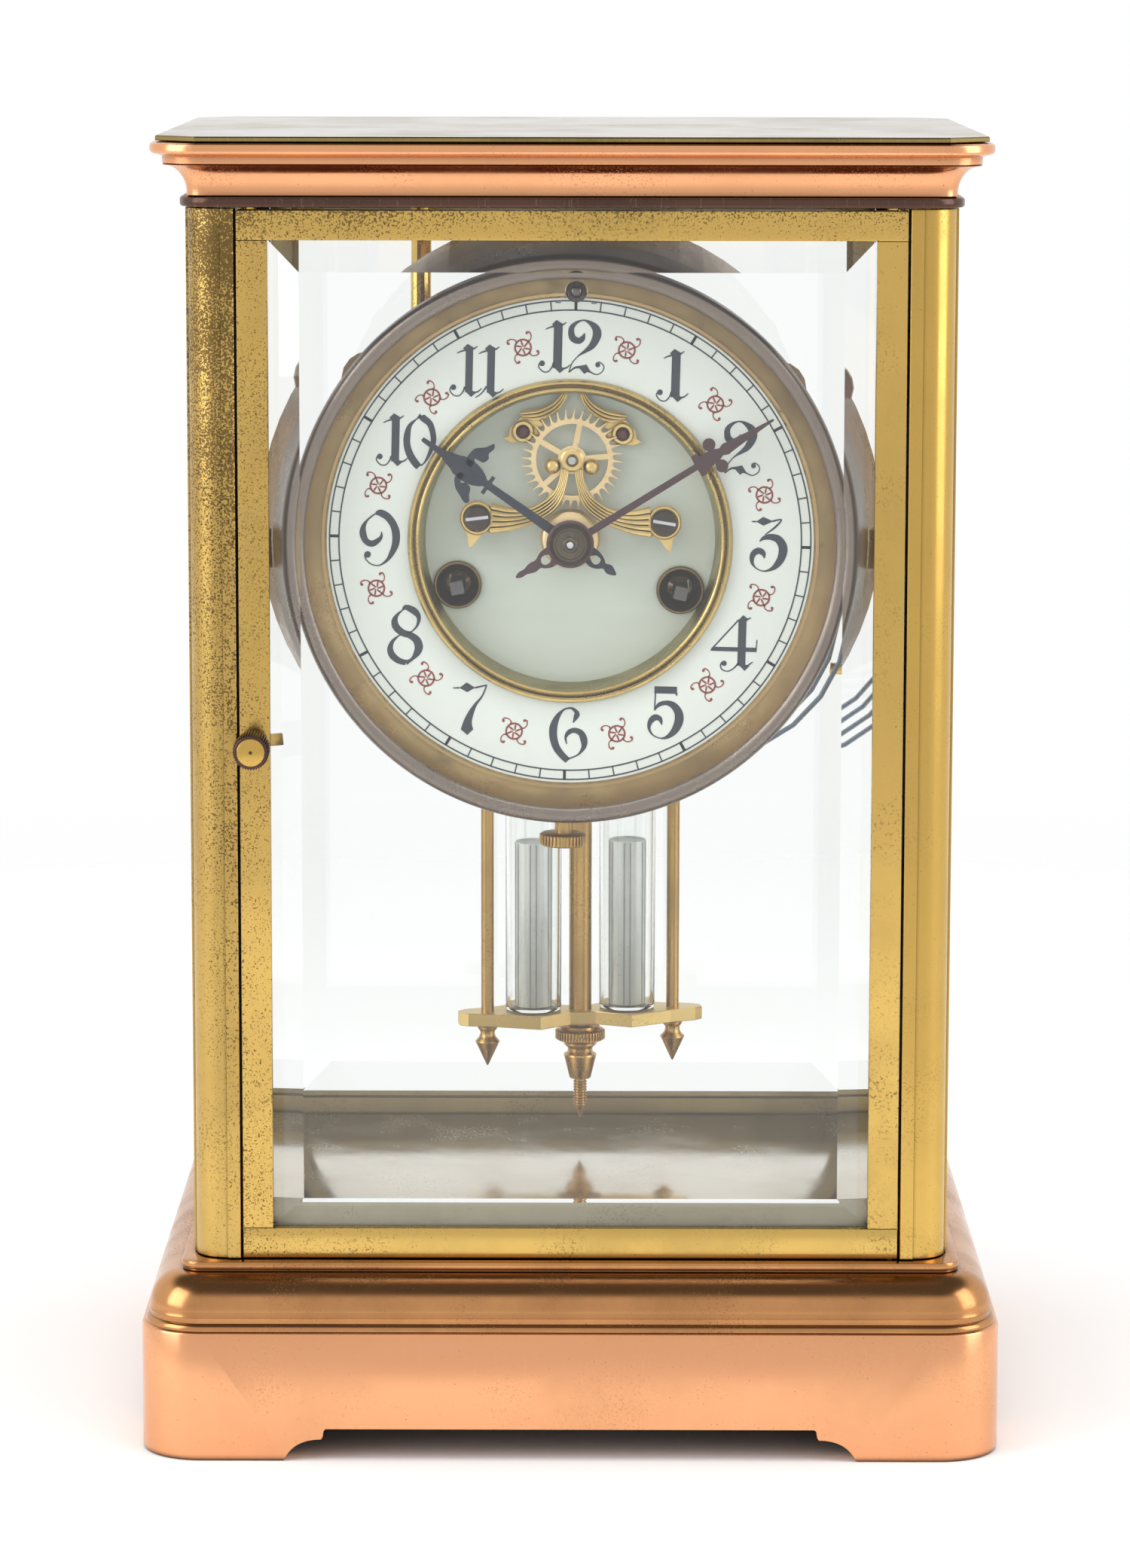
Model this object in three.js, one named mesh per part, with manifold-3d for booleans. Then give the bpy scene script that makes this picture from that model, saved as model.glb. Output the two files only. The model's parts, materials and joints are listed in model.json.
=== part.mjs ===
// Crystal regulator clock: four-glass case, visible escapement, two-jar pendulum, coil gong.
// Millimetres, +Z up, the front faces -Y, the origin is under the middle of the plinth.
import * as THREE from "three";
import { mergeVertices } from "three/addons/utils/BufferGeometryUtils.js";
import Module from "manifold-3d";

const wasm = await Module();
wasm.setup();

// Overall size
const WIDTH = 175;
const DEPTH = 146;
const HEIGHT = 267;

// Fits
const SEAT_GAP = 0.3;
const RUNNING_GAP = 0.4;
const OVERRUN = 4;

// Plinth
const PLINTH_CORNER = 12.5;
const PLINTH_BAND_TOP = 26.65;
const PLINTH_BEAD_TOP = 28.2;
const PLINTH_BEAD_INSET = 1;
const PLINTH_STEP_TOP = 29.9;
const PLINTH_STEP_INSET = 1.6;
const PLINTH_OVOLO_TOP = 37.5;
const PLINTH_OVOLO_INSET = 8.6;
const PLINTH_TOP = 39.45;
const PLINTH_TOP_INSET = 8.2;
const PLINTH_WALL = 5;
const PLINTH_POCKET_TOP = 30;
const OVOLO_STEPS = 6;
const ARCH_TOP = 6.7;
const ARCH_HALF_WIDTH = 50;
const ARCH_STEP_WIDTH = 0.5;
const ARCH_STEP_DROP = 2.15;
const FOOT_CURVE_WIDTH = 7.7;
const FOOT_CURVE_BULGE = 0.25;
const OUTLINE_CORNER_STEPS = 4;

// Case body between the plinth and the head plate
const CASE_WIDTH = 154.1;
const CASE_DEPTH = 125;
const TOP_MOULDING_HEIGHT = 14.37;
const CASE_TOP = HEIGHT - TOP_MOULDING_HEIGHT;
const POST_SIZE = 9.15;
const POST_RADIUS = 7;
const POST_GROOVE = 0.5;
const POST_STRIP = 2.7;
const POST_STEPS = 5;
const FLOOR_THICKNESS = 4.45;
const FLOOR_TOP = PLINTH_TOP + SEAT_GAP + FLOOR_THICKNESS;
const FLOOR_CLEARANCE = 1.2;
const HEAD_THICKNESS = 2.01;
const HEAD_TOP = CASE_TOP + SEAT_GAP + HEAD_THICKNESS;
const HEAD_WIDTH = 156.2;
const HEAD_DEPTH = 127.2;
const HEAD_CORNER = 8;
const HEAD_ROUNDING = 0.6;

// Cornice and lid plate
const CORNICE_WIDTH = 167.6;
const CORNICE_DEPTH = 138.5;
const CORNICE_CORNER = 11;
const CORNICE_FOOT_INSET = 7.3;
const LID_THICKNESS = 1.04;
const CORNICE_TOP = HEIGHT - LID_THICKNESS - SEAT_GAP;
const CORNICE_BAND_HEIGHT = 1.98;
const CORNICE_FRIEZE_HEIGHT = 2.48;
const CORNICE_FRIEZE_TOP = CORNICE_TOP - CORNICE_BAND_HEIGHT;
const CORNICE_COVE_TOP = CORNICE_FRIEZE_TOP - CORNICE_FRIEZE_HEIGHT;
const CORNICE_COVE_INSET = 2.6;
const CORNICE_FRIEZE_INSET = 2.4;
const CORNICE_BAND_ROUNDING = 0.5;
const CORNICE_WALL = 12;
const CORNICE_ROOF = 3;
const COVE_STEPS = 5;
const LID_INSET = 1.2;
const LID_CORNER_CUT = 8.3;

// Front and back doors and the fixed side frames
const PANEL_THICKNESS = 5.5;
const PANEL_BOTTOM = PLINTH_TOP + SEAT_GAP;
const PANEL_TOP = CASE_TOP - SEAT_GAP;
const STILE_WIDTH = 6.1;
const TOP_RAIL_HEIGHT = 5.9;
const BOTTOM_RAIL_HEIGHT = 6.15;
const BACK_RAIL_HEIGHT = 9.3;
const FRAME_LIP = 2.7;
const FRAME_REBATE = 1.3;
const DOOR_GAP = 1.3;
const DOOR_PIN_INSET = 1.5;
const DOOR_PIN_RADIUS = 0.7;
const DOOR_PIN_DEPTH = 1.3;
const GLASS_THICKNESS = 5.1;
const GLASS_EDGE = 1.8;
const GLASS_BEVEL = 7.3;

// Door latches: a knurled knob outside and a turning tongue inside
const LATCH_HEIGHT = 145.2;
const LATCH_INSET = 2.75;
const LATCH_KNOB_RADIUS = 3.6;
const LATCH_KNOB_LENGTH = 7.2;
const LATCH_COLLAR_RADIUS = 2.4;
const LATCH_COLLAR_LENGTH = 2.3;
const LATCH_STEM_RADIUS = 1.1;
const LATCH_TONGUE_LENGTH = 6.5;
const LATCH_TONGUE_WIDTH = 2.35;
const LATCH_TONGUE_THICKNESS = 1.4;
const LATCH_TONGUE_REST_DEG = 6;

// Dial group: everything round the hand arbor, turned a little clockwise as it hangs
const DIAL_X = -0.3;
const DIAL_DROP = 67.63;
const DIAL_Z = CASE_TOP - DIAL_DROP;
const DIAL_TILT_DEG = 1.3;
const BEZEL_RADIUS = 56.7;
const BEZEL_INNER_RADIUS = 49.3;
const BEZEL_RIDGE_RADIUS = 53.4;
const BEZEL_RIDGE_DROP = 1.8;
const BEZEL_FRONT = -54;
const BEZEL_BACK = -42.5;
const BEZEL_LIP = 1.6;
const BEZEL_SIDES = 72;
const CHAPTER_RADIUS = 50;
const CHAPTER_FRONT = -46;
const CHAPTER_THICKNESS = 1.5;
const GILT_OUTER_RADIUS = 32.95;
const GILT_INNER_RADIUS = 30.5;
const GILT_STAND = 1.4;
const GILT_WALL = 1.1;
const ANCHOR_SLOT_HALF = 8;
const DISC_RADIUS = 42;
const DISC_FRONT = -39.6;
const DISC_THICKNESS = 1.2;
const DRUM_RADIUS = 55.2;
const DRUM_WALL = 1.6;
const LUG_CENTRE_RADIUS = 52;
const DRUM_BACK = -16;
const DRUM_FLANGE = 4.5;
const DRUM_FLANGE_THICKNESS = 1.6;
const DRUM_SIDES = 64;
const LUG_RADIUS = 5.5;
const LUG_ANGLE_DEG = 35;
const BRACKET_HEIGHT = 8;
const BRACKET_DROP = 2;
const BRACKET_Z = DIAL_Z - BRACKET_DROP;
const BRACKET_DEPTH = 8;
const THUMBSCREW_RADIUS = 4.8;
const THUMBSCREW_HEIGHT = 3.25;
const THUMBSCREW_DROP = 60.7;
const THUMBSCREW_Y = -46.5;
const THUMBSCREW_STEM = 1.3;
const KNURLS = 24;

// Arbors through the dial
const WINDING_X = 22.7;
const WINDING_DROP = 10;
const WINDING_HOLE = 3.75;
const FERRULE_RADIUS = 4.9;
const FERRULE_STAND = 0.6;
const SQUARE_HALF = 1.5;
const SQUARE_FRONT = -46.4;
const REGULATOR_RISE = 50.6;
const REGULATOR_HOLE = 2.3;
const REGULATOR_HALF = 0.8;
const REGULATOR_FRONT = -48.4;

// Movement plates and pillars
const PLATE_RADIUS = 46;
const PLATE_THICKNESS = 2;
const FRONT_PLATE_Y = -30;
const BACK_PLATE_Y = 6;
const PILLAR_RADIUS = 2.4;
const PILLAR_CIRCLE = 41;
const PILLAR_ANGLES_DEG = [35, 145, 255, 285];
const ARBOR_RADIUS = 0.8;

// Train: wheel rim radii, places from the hand arbor and places along the arbors
const BARREL_RADIUS = 17;
const BARREL_LENGTH = 14;
const BARREL_Y = -26;
const GREAT_WHEEL_RADIUS = 20.2;
const GREAT_WHEEL_TEETH = 48;
const CENTRE_WHEEL_RADIUS = 14.3;
const CENTRE_WHEEL_TEETH = 40;
const CENTRE_WHEEL_Y = -6;
const CENTRE_PINION_RADIUS = 3.6;
const THIRD_X = -12.2;
const THIRD_RISE = 12.3;
const THIRD_WHEEL_RADIUS = 10.6;
const THIRD_WHEEL_TEETH = 32;
const THIRD_WHEEL_Y = 0;
const THIRD_PINION_RADIUS = 2.2;
const WHEEL_THICKNESS = 1.2;
const TOOTH_DEPTH = 0.9;
const PINION_LEAVES = 8;
const ESCAPE_RISE = 16.27;
const ESCAPE_RADIUS = 10.2;
const ESCAPE_ROOT_RADIUS = 8.35;
const ESCAPE_RIM_INNER = 7.3;
const ESCAPE_HUB_RADIUS = 2.3;
const ESCAPE_TEETH = 36;
const ESCAPE_SPOKES = 5;
const ESCAPE_SPOKE_WIDTH = 0.8;
const ESCAPE_FRONT = -42.4;
const ESCAPE_THICKNESS = 0.8;
const ESCAPE_PINION_RADIUS = 1.4;
const MINUTE_WHEEL_X = 8.4;
const MINUTE_WHEEL_RADIUS = 5.6;
const MINUTE_PINION_RADIUS = 1.6;
const HOUR_WHEEL_RADIUS = 6;
const CANNON_RADIUS = 1.9;
const CANNON_TUBE = 1.1;
const HOUR_PIPE_BORE = 1.5;
const HOUR_PIPE_RADIUS = 2.2;
const MOTION_Y = -36.2;
const MOTION_STEP = 1.6;

// Hands
const HAND_THICKNESS = 0.5;
const MINUTE_HAND_FRONT = -51;
const MINUTE_HAND_LENGTH = 48;
const MINUTE_HAND_ANGLE_DEG = 57;
const MINUTE_LOOP_REACH = 33.5;
const MINUTE_TAIL = 12.9;
const HOUR_HAND_FRONT = -49;
const HOUR_HAND_LENGTH = 36.5;
const HOUR_HAND_ANGLE_DEG = 303.9;
const HOUR_LOOP_REACH = 25.2;
const HOUR_TAIL = 11.3;
const HAND_WIDTH = 1.5;
const HAND_LOOP_RADIUS = 3.4;
const HAND_LOOP_HOLE = 1.9;
const HAND_BOSS_RADIUS = 4.7;
const HAND_NUT_RADIUS = 3.4;
const HAND_NUT_LENGTH = 2;

// Pallets, bridge and crutch
const PALLET_ARBOR_RISE = 38;
const ANCHOR_FRONT = -41.2;
const ANCHOR_THICKNESS = 0.9;
const JEWEL_X = 10.1;
const JEWEL_RISE = 21.6;
const JEWEL_RADIUS = 0.7;
const JEWEL_FRONT = -43;
const BRIDGE_FRONT = -44;
const BRIDGE_THICKNESS = 1;
const BRIDGE_FOOT_X = 19;
const BRIDGE_FOOT_RISE = 4.1;
const BRIDGE_BOSS_RADIUS = 3.5;
const BRIDGE_RING_RADIUS = 3.2;
const BRIDGE_HOLE = 1.3;
const BRIDGE_SCREW_RADIUS = 2.5;
const CRUTCH_Y = 11;
const CRUTCH_LENGTH = 30;
const CRUTCH_WIDTH = 2;
const CRUTCH_THICKNESS = 1.4;
const CRUTCH_TINE = 1.2;

// Suspension, pendulum and crutch fork share the pendulum's line
const PENDULUM_X = 2;
const PENDULUM_Y = 34;
const SWING_RISE = 41.7;
const SWING_Z = DIAL_Z + SWING_RISE;
const COCK_BOTTOM = SWING_Z + SEAT_GAP;
const COCK_HEIGHT = 5;
const COCK_TOP = COCK_BOTTOM + COCK_HEIGHT;
const COCK_HALF_WIDTH = 4;
const COCK_SLOT = 0.6;
const COCK_SLOT_DEPTH = 3.2;
const SPRING_GRIP = 2.9;
const SPRING_LENGTH = 15.6;
const SPRING_TOP = SWING_Z + SPRING_GRIP;
const SPRING_BOTTOM = SPRING_TOP - SPRING_LENGTH;
const SPRING_THICKNESS = 0.3;
const SPRING_WIDTH = 4;
const ROD_RADIUS = 2.48;
const ROD_TOP = SPRING_BOTTOM - SEAT_GAP;
const THREAD_RADIUS = 1.45;
const ROD_CLEARANCE = 4.1;
const ROD_TIP = FLOOR_TOP + ROD_CLEARANCE;
const ROD_POINT_LENGTH = 2.2;
const ROD_POINT_START = ROD_TIP + ROD_POINT_LENGTH;
const THREAD_SHOWN = 6.95;
const BELL_RADIUS = 3.65;
const BELL_HEIGHT = 5.75;
const BELL_TIP_RADIUS = 2.07;
const BELL_BOTTOM = ROD_POINT_START + THREAD_SHOWN;
const BELL_TOP = BELL_BOTTOM + BELL_HEIGHT;
const NUT_RADIUS = 5.5;
const NUT_HEIGHT = 3.4;
const NUT_STAND = 2.7;
const NUT_BOTTOM = BELL_TOP + NUT_STAND;
const NUT_TOP = NUT_BOTTOM + NUT_HEIGHT;
const NUT_KNURLS = 28;
const TRAY_HALF_WIDTH = 27;
const TRAY_HALF_DEPTH = 9;
const TRAY_HEIGHT = 2.9;
const TRAY_BOTTOM = NUT_TOP + SEAT_GAP + RUNNING_GAP;
const TRAY_TOP = TRAY_BOTTOM + TRAY_HEIGHT;
const JAR_X = 10.4;
const JAR_RADIUS = 6.15;
const JAR_WALL = 0.7;
const JAR_HEIGHT = 57.8;
const UPPER_PLATE_THICKNESS = 2.7;
const UPPER_PLATE_BOTTOM = TRAY_TOP + JAR_HEIGHT + 2 * SEAT_GAP;
const UPPER_PLATE_TOP = UPPER_PLATE_BOTTOM + UPPER_PLATE_THICKNESS;
const UPPER_PLATE_HALF_DEPTH = 6;
const SIDE_ROD_X = 20.6;
const SIDE_ROD_RADIUS = 1.4;
const MERCURY_RADIUS = 4.15;
const MERCURY_HEIGHT = 36.6;
const MERCURY_BOTTOM = TRAY_TOP + JAR_WALL + 2 * SEAT_GAP;
const FINIAL_TOP = TRAY_BOTTOM - SEAT_GAP;
const FINIAL_LENGTH = 9.3;
const FINIAL_RADIUS = 2.7;
const FINIAL_BELLY_SHARE = 0.58;
const FINIAL_NECK_SHARE = 0.8;
const PENDULUM_TWIST_DEG = 8.5;
const TRAY_SHARES = [[1, 0.13], [0.93, 0.31], [0.72, 0.49], [0.37, 1], [0.1, 0.47]];

// Coil gong, the rod it hangs on and its hammer
const GONG_Y = 20;
const GONG_X = 27;
const GONG_DROP = 22;
const GONG_Z = DIAL_Z - GONG_DROP;
const GONG_RADIUS = 34.5;
const GONG_PITCH = 2.45;
const GONG_TURNS = 4.25;
const GONG_START_DEG = 250;
const GONG_STRIP_RADIAL = 0.55;
const GONG_STRIP_DEPTH = 1.3;
const GONG_STEPS_PER_TURN = 24;
const GONG_SECTION_SIDES = 6;
const GONG_ROD_X = -32.3;
const GONG_ROD_RADIUS = 2.17;
const GONG_GRIP_LENGTH = 4.1;
const GONG_GRIP_HALF = 1.3;
const GONG_ARM_Y = GONG_Y + 2.4;
const GONG_ARM_THICKNESS = 3;
const GONG_ARM_HALF = 1.8;
const GONG_ELBOW_HALF = 3;
const HAMMER_X = -24;
const HAMMER_DROP = 33;
const HAMMER_Z = DIAL_Z - HAMMER_DROP;
const HAMMER_HEAD_X = -11;
const HAMMER_HEAD_DROP = 19;
const HAMMER_HEAD_Z = DIAL_Z - HAMMER_HEAD_DROP;
const HAMMER_HEAD_RADIUS = 2.6;
const HAMMER_HEAD_HALF = 2.5;
const HAMMER_ARM = 1.2;

// Small counts, shares and angles
const QUARTER_TURN = Math.PI / 2;
const FULL_TURN = Math.PI * 2;
const DEGREE = Math.PI / 180;
const MERGE_DISTANCE = 1e-4;
const PLATE_CURVE_STEPS = 5;
const PIN_SIDES = 12;
const LUG_SIDES = 16;
const FERRULE_SIDES = 28;
const LATCH_KNURLS = 24;
const DOOR_WIDTH = CASE_WIDTH - 2 * POST_SIZE - 2 * DOOR_GAP;
const SIDE_WIDTH = CASE_DEPTH - 2 * POST_SIZE - 2 * SEAT_GAP;
const GLASS_SETBACK = 0.2;
const PINION_LENGTH = 8;
const ESCAPE_LEAN_SHARE = 0.35;
const ESCAPE_SPOKE_START_DEG = 11;
const BOSS_RADIUS = 5.6;
const BOSS_STAND = 2.4;
const TOOTH_SHARES = [[0, false], [0.5, false], [0.65, true], [0.85, true]];
const ANCHOR_SHARES = [
  [0, 0.14], [0.45, 0.08], [0.78, -0.08], [0.95, -0.13], [1.14, -0.06], [1.14, 0.08],
  [0.94, 0.17], [0.72, 0.33], [0.46, 0.36], [0.24, 0.48], [0.14, 0.66], [0.14, 1.06], [0, 1.1],
];
const BRIDGE_SHARES = [
  [0, -0.26], [0.1, -0.28], [0.2, -0.6], [0.34, -0.66], [0.3, -0.3], [0.5, -0.42], [0.62, -0.7],
  [0.8, -0.86], [1.02, -0.98], [1.02, -0.82], [0.86, -0.66], [0.66, -0.42], [0.4, -0.1],
  [0.22, 0.06], [0, 0.12],
];

// Merges shared vertices, keeps only positions and makes a solid of a closed geometry.
function solid(geometry) {
  const bare = geometry.index ? geometry.toNonIndexed() : geometry.clone();
  bare.deleteAttribute("normal");
  bare.deleteAttribute("uv");
  const merged = mergeVertices(bare, MERGE_DISTANCE);
  const mesh = new wasm.Mesh({
    numProp: 3,
    vertProperties: merged.attributes.position.array,
    triVerts: new Uint32Array(merged.index.array),
  });
  return new wasm.Manifold(mesh);
}

// Turns a solid back into a geometry with flat faces.
function geometryOf(body) {
  const mesh = body.getMesh();
  const stride = mesh.numProp;
  const positions = new Float32Array(mesh.numVert * 3);
  for (let i = 0; i < mesh.numVert; i++) {
    positions.set(mesh.vertProperties.subarray(i * stride, i * stride + 3), i * 3);
  }
  const geometry = new THREE.BufferGeometry();
  geometry.setAttribute("position", new THREE.BufferAttribute(positions, 3));
  geometry.setIndex(new THREE.BufferAttribute(mesh.triVerts, 1));
  const flat = geometry.toNonIndexed();
  flat.computeVertexNormals();
  return flat;
}

// The first geometry joined with the others.
function joined(first, ...others) {
  const body = others.reduce((sum, other) => sum.add(solid(other)), solid(first));
  return geometryOf(body);
}

// The first geometry with the others cut away.
function cutBy(first, ...others) {
  const body = others.reduce((rest, other) => rest.subtract(solid(other)), solid(first));
  return geometryOf(body);
}

function boxBetween([x0, x1], [y0, y1], [z0, z1]) {
  const box = new THREE.BoxGeometry(x1 - x0, y1 - y0, z1 - z0);
  box.translate((x0 + x1) / 2, (y0 + y1) / 2, (z0 + z1) / 2);
  return box;
}

// A round bar along Y from y0 to y1.
function barY(radius, [y0, y1], sides, [x, z] = [0, 0], backRadius = radius) {
  const bar = new THREE.CylinderGeometry(backRadius, radius, y1 - y0, sides);
  bar.translate(x, (y0 + y1) / 2, z);
  return bar;
}

// A round bar along Z from z0 to z1.
function barZ(radius, [z0, z1], sides, [x, y] = [0, 0], topRadius = radius) {
  const bar = new THREE.CylinderGeometry(topRadius, radius, z1 - z0, sides);
  bar.rotateX(QUARTER_TURN);
  bar.translate(x, y, (z0 + z1) / 2);
  return bar;
}

// A turned piece about the Z axis from [radius, z] points.
function turnedZ(profile, sides) {
  const points = profile.map(([radius, z]) => new THREE.Vector2(radius, z));
  const lathe = new THREE.LatheGeometry(points, sides);
  lathe.rotateX(QUARTER_TURN);
  return lathe;
}

// A turned piece about the Y axis from [radius, y] points.
function turnedY(profile, sides) {
  const points = profile.map(([radius, y]) => new THREE.Vector2(radius, y));
  return new THREE.LatheGeometry(points, sides);
}

// A flat plate in the XZ plane, its front face at y0 and its back face at y1.
function plateY(shape, [y0, y1], curveSegments = PLATE_CURVE_STEPS) {
  const plate = new THREE.ExtrudeGeometry(shape, {
    depth: y1 - y0,
    bevelEnabled: false,
    curveSegments,
  });
  plate.rotateX(QUARTER_TURN);
  plate.translate(0, y1, 0);
  return plate;
}

// A prism along Z of a shape drawn in the XY plane.
function prismZ(shape, [z0, z1]) {
  const prism = new THREE.ExtrudeGeometry(shape, {
    depth: z1 - z0,
    bevelEnabled: false,
    curveSegments: PLATE_CURVE_STEPS,
  });
  prism.translate(0, 0, z0);
  return prism;
}

function shapeOf(points) {
  return new THREE.Shape(points.map(([x, y]) => new THREE.Vector2(x, y)));
}

// Points of a rectangle with rounded corners, counter-clockwise.
function roundedOutline(halfWidth, halfDepth, radius, steps = OUTLINE_CORNER_STEPS) {
  const signs = [[1, -1], [1, 1], [-1, 1], [-1, -1]];
  return signs.flatMap(([sx, sy], quarter) =>
    Array.from({ length: steps + 1 }, (_, i) => {
      const angle = (quarter - 1 + i / steps) * QUARTER_TURN;
      return [
        sx * (halfWidth - radius) + radius * Math.cos(angle),
        sy * (halfDepth - radius) + radius * Math.sin(angle),
      ];
    }),
  );
}

// Points of a rectangle with cut corners, counter-clockwise.
function cutCornerOutline(halfWidth, halfDepth, cut) {
  const signs = [[1, -1], [1, 1], [-1, 1], [-1, -1]];
  return signs.flatMap(([sx, sy]) => {
    const alongX = [sx * (halfWidth - cut), sy * halfDepth];
    const alongY = [sx * halfWidth, sy * (halfDepth - cut)];
    return sx * sy < 0 ? [alongX, alongY] : [alongY, alongX];
  });
}

// A closed body from outlines of equal length stacked at rising heights.
function stacked(levels) {
  const count = levels[0].outline.length;
  const positions = levels.flatMap(({ outline, z }) => outline.flatMap(([x, y]) => [x, y, z]));
  const index = [];
  for (let level = 0; level + 1 < levels.length; level++) {
    for (let i = 0; i < count; i++) {
      const a = level * count + i;
      const b = level * count + ((i + 1) % count);
      index.push(a, b, b + count, a, b + count, a + count);
    }
  }
  const top = (levels.length - 1) * count;
  for (let i = 1; i + 1 < count; i++) {
    index.push(0, i + 1, i);
    index.push(top, top + i, top + i + 1);
  }
  const geometry = new THREE.BufferGeometry();
  geometry.setAttribute("position", new THREE.Float32BufferAttribute(positions, 3));
  geometry.setIndex(index);
  geometry.computeVertexNormals();
  return geometry;
}

function named(name, geometry, finish) {
  const mesh = new THREE.Mesh(geometry, new THREE.MeshStandardMaterial(finish));
  mesh.name = name;
  return mesh;
}

function plinth() {
  const level = (inset, z) => ({
    outline: roundedOutline(WIDTH / 2 - inset, DEPTH / 2 - inset, PLINTH_CORNER - inset),
    z,
  });
  const ovolo = Array.from({ length: OVOLO_STEPS + 1 }, (_, i) => {
    const angle = (i / OVOLO_STEPS) * QUARTER_TURN;
    const inset = PLINTH_STEP_INSET
      + (PLINTH_OVOLO_INSET - PLINTH_STEP_INSET) * (1 - Math.cos(angle));
    return level(inset, PLINTH_STEP_TOP + (PLINTH_OVOLO_TOP - PLINTH_STEP_TOP) * Math.sin(angle));
  });
  const body = stacked([
    level(0, 0),
    level(0, PLINTH_BAND_TOP),
    level(PLINTH_BEAD_INSET, PLINTH_BAND_TOP + SEAT_GAP),
    level(PLINTH_BEAD_INSET, PLINTH_BEAD_TOP),
    level(PLINTH_STEP_INSET, PLINTH_BEAD_TOP + SEAT_GAP),
    ...ovolo,
    level(PLINTH_TOP_INSET, PLINTH_OVOLO_TOP + SEAT_GAP),
    level(PLINTH_TOP_INSET, PLINTH_TOP),
  ]);
  const pocketWidth = WIDTH / 2 - PLINTH_WALL;
  const pocketDepth = DEPTH / 2 - PLINTH_WALL;
  const pocketOutline = roundedOutline(pocketWidth, pocketDepth, PLINTH_CORNER - PLINTH_WALL);
  const pocket = prismZ(shapeOf(pocketOutline), [-OVERRUN, PLINTH_POCKET_TOP]);
  const frontArch = plateY(archShape(ARCH_HALF_WIDTH), [-DEPTH / 2 - OVERRUN, DEPTH / 2 + OVERRUN]);
  const sideHalf = ARCH_HALF_WIDTH - (WIDTH - DEPTH) / 2;
  const sideArch = plateY(archShape(sideHalf), [-WIDTH / 2 - OVERRUN, WIDTH / 2 + OVERRUN]);
  sideArch.rotateZ(QUARTER_TURN);
  const bores = doorPinBores([PLINTH_TOP - DOOR_PIN_DEPTH - RUNNING_GAP, HEIGHT]);
  return cutBy(body, pocket, frontArch, sideArch, ...bores);
}

// The opening between two bracket feet: flat top, a small step, then a curve down each foot.
function archShape(halfWidth) {
  const stepX = halfWidth + ARCH_STEP_WIDTH;
  const stepZ = ARCH_TOP - ARCH_STEP_DROP;
  const footX = halfWidth + ARCH_STEP_WIDTH + FOOT_CURVE_WIDTH;
  const bulge = FOOT_CURVE_BULGE * FOOT_CURVE_WIDTH;
  const shape = new THREE.Shape();
  shape.moveTo(-footX, -OVERRUN);
  shape.lineTo(footX, -OVERRUN);
  shape.lineTo(footX, 0);
  shape.quadraticCurveTo(footX - bulge, stepZ, stepX, stepZ);
  shape.lineTo(halfWidth, ARCH_TOP);
  shape.lineTo(-halfWidth, ARCH_TOP);
  shape.lineTo(-stepX, stepZ);
  shape.quadraticCurveTo(-footX + bulge, stepZ, -footX, 0);
  return shape;
}

function floorPlate() {
  const halfWidth = CASE_WIDTH / 2 - PANEL_THICKNESS - FLOOR_CLEARANCE;
  const halfDepth = CASE_DEPTH / 2 - PANEL_THICKNESS - FLOOR_CLEARANCE;
  return boxBetween([-halfWidth, halfWidth], [-halfDepth, halfDepth],
    [PLINTH_TOP + SEAT_GAP, FLOOR_TOP]);
}

// A corner post: quarter-round outside with a fine groove, and flat strips left and right of a
// slanted inner face, behind which the latch tongue turns.
function cornerPost(sx, sy) {
  const outerX = CASE_WIDTH / 2;
  const outerY = CASE_DEPTH / 2;
  const innerX = outerX - POST_SIZE;
  const innerY = outerY - POST_SIZE;
  const grooveX = outerX - POST_RADIUS + POST_GROOVE;
  const points = [[innerX, outerY - POST_STRIP], [outerX - POST_STRIP, innerY],
    [outerX, innerY], [outerX, outerY - POST_RADIUS]];
  const centreX = outerX - POST_RADIUS;
  const centreY = outerY - POST_RADIUS;
  for (let i = 0; i <= POST_STEPS; i++) {
    const angle = (i / POST_STEPS) * QUARTER_TURN;
    const radius = POST_RADIUS - POST_GROOVE;
    points.push([centreX + radius * Math.cos(angle), centreY + radius * Math.sin(angle)]);
  }
  points.push([grooveX - POST_GROOVE, outerY], [innerX, outerY]);
  const mirrored = points.map(([x, y]) => [sx * x, sy * y]);
  const ordered = sx * sy > 0 ? mirrored : mirrored.reverse();
  return prismZ(shapeOf(ordered), [PLINTH_TOP + SEAT_GAP, CASE_TOP]);
}

function headPlate() {
  const level = (inset, z) => ({
    outline: roundedOutline(HEAD_WIDTH / 2 - inset, HEAD_DEPTH / 2 - inset, HEAD_CORNER - inset),
    z,
  });
  const plate = stacked([
    level(HEAD_ROUNDING, CASE_TOP + SEAT_GAP),
    level(0, CASE_TOP + SEAT_GAP + HEAD_ROUNDING),
    level(0, HEAD_TOP - HEAD_ROUNDING),
    level(HEAD_ROUNDING, HEAD_TOP),
  ]);
  const bores = doorPinBores([0, CASE_TOP + SEAT_GAP + DOOR_PIN_DEPTH + RUNNING_GAP]);
  return cutBy(plate, ...bores);
}

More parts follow.
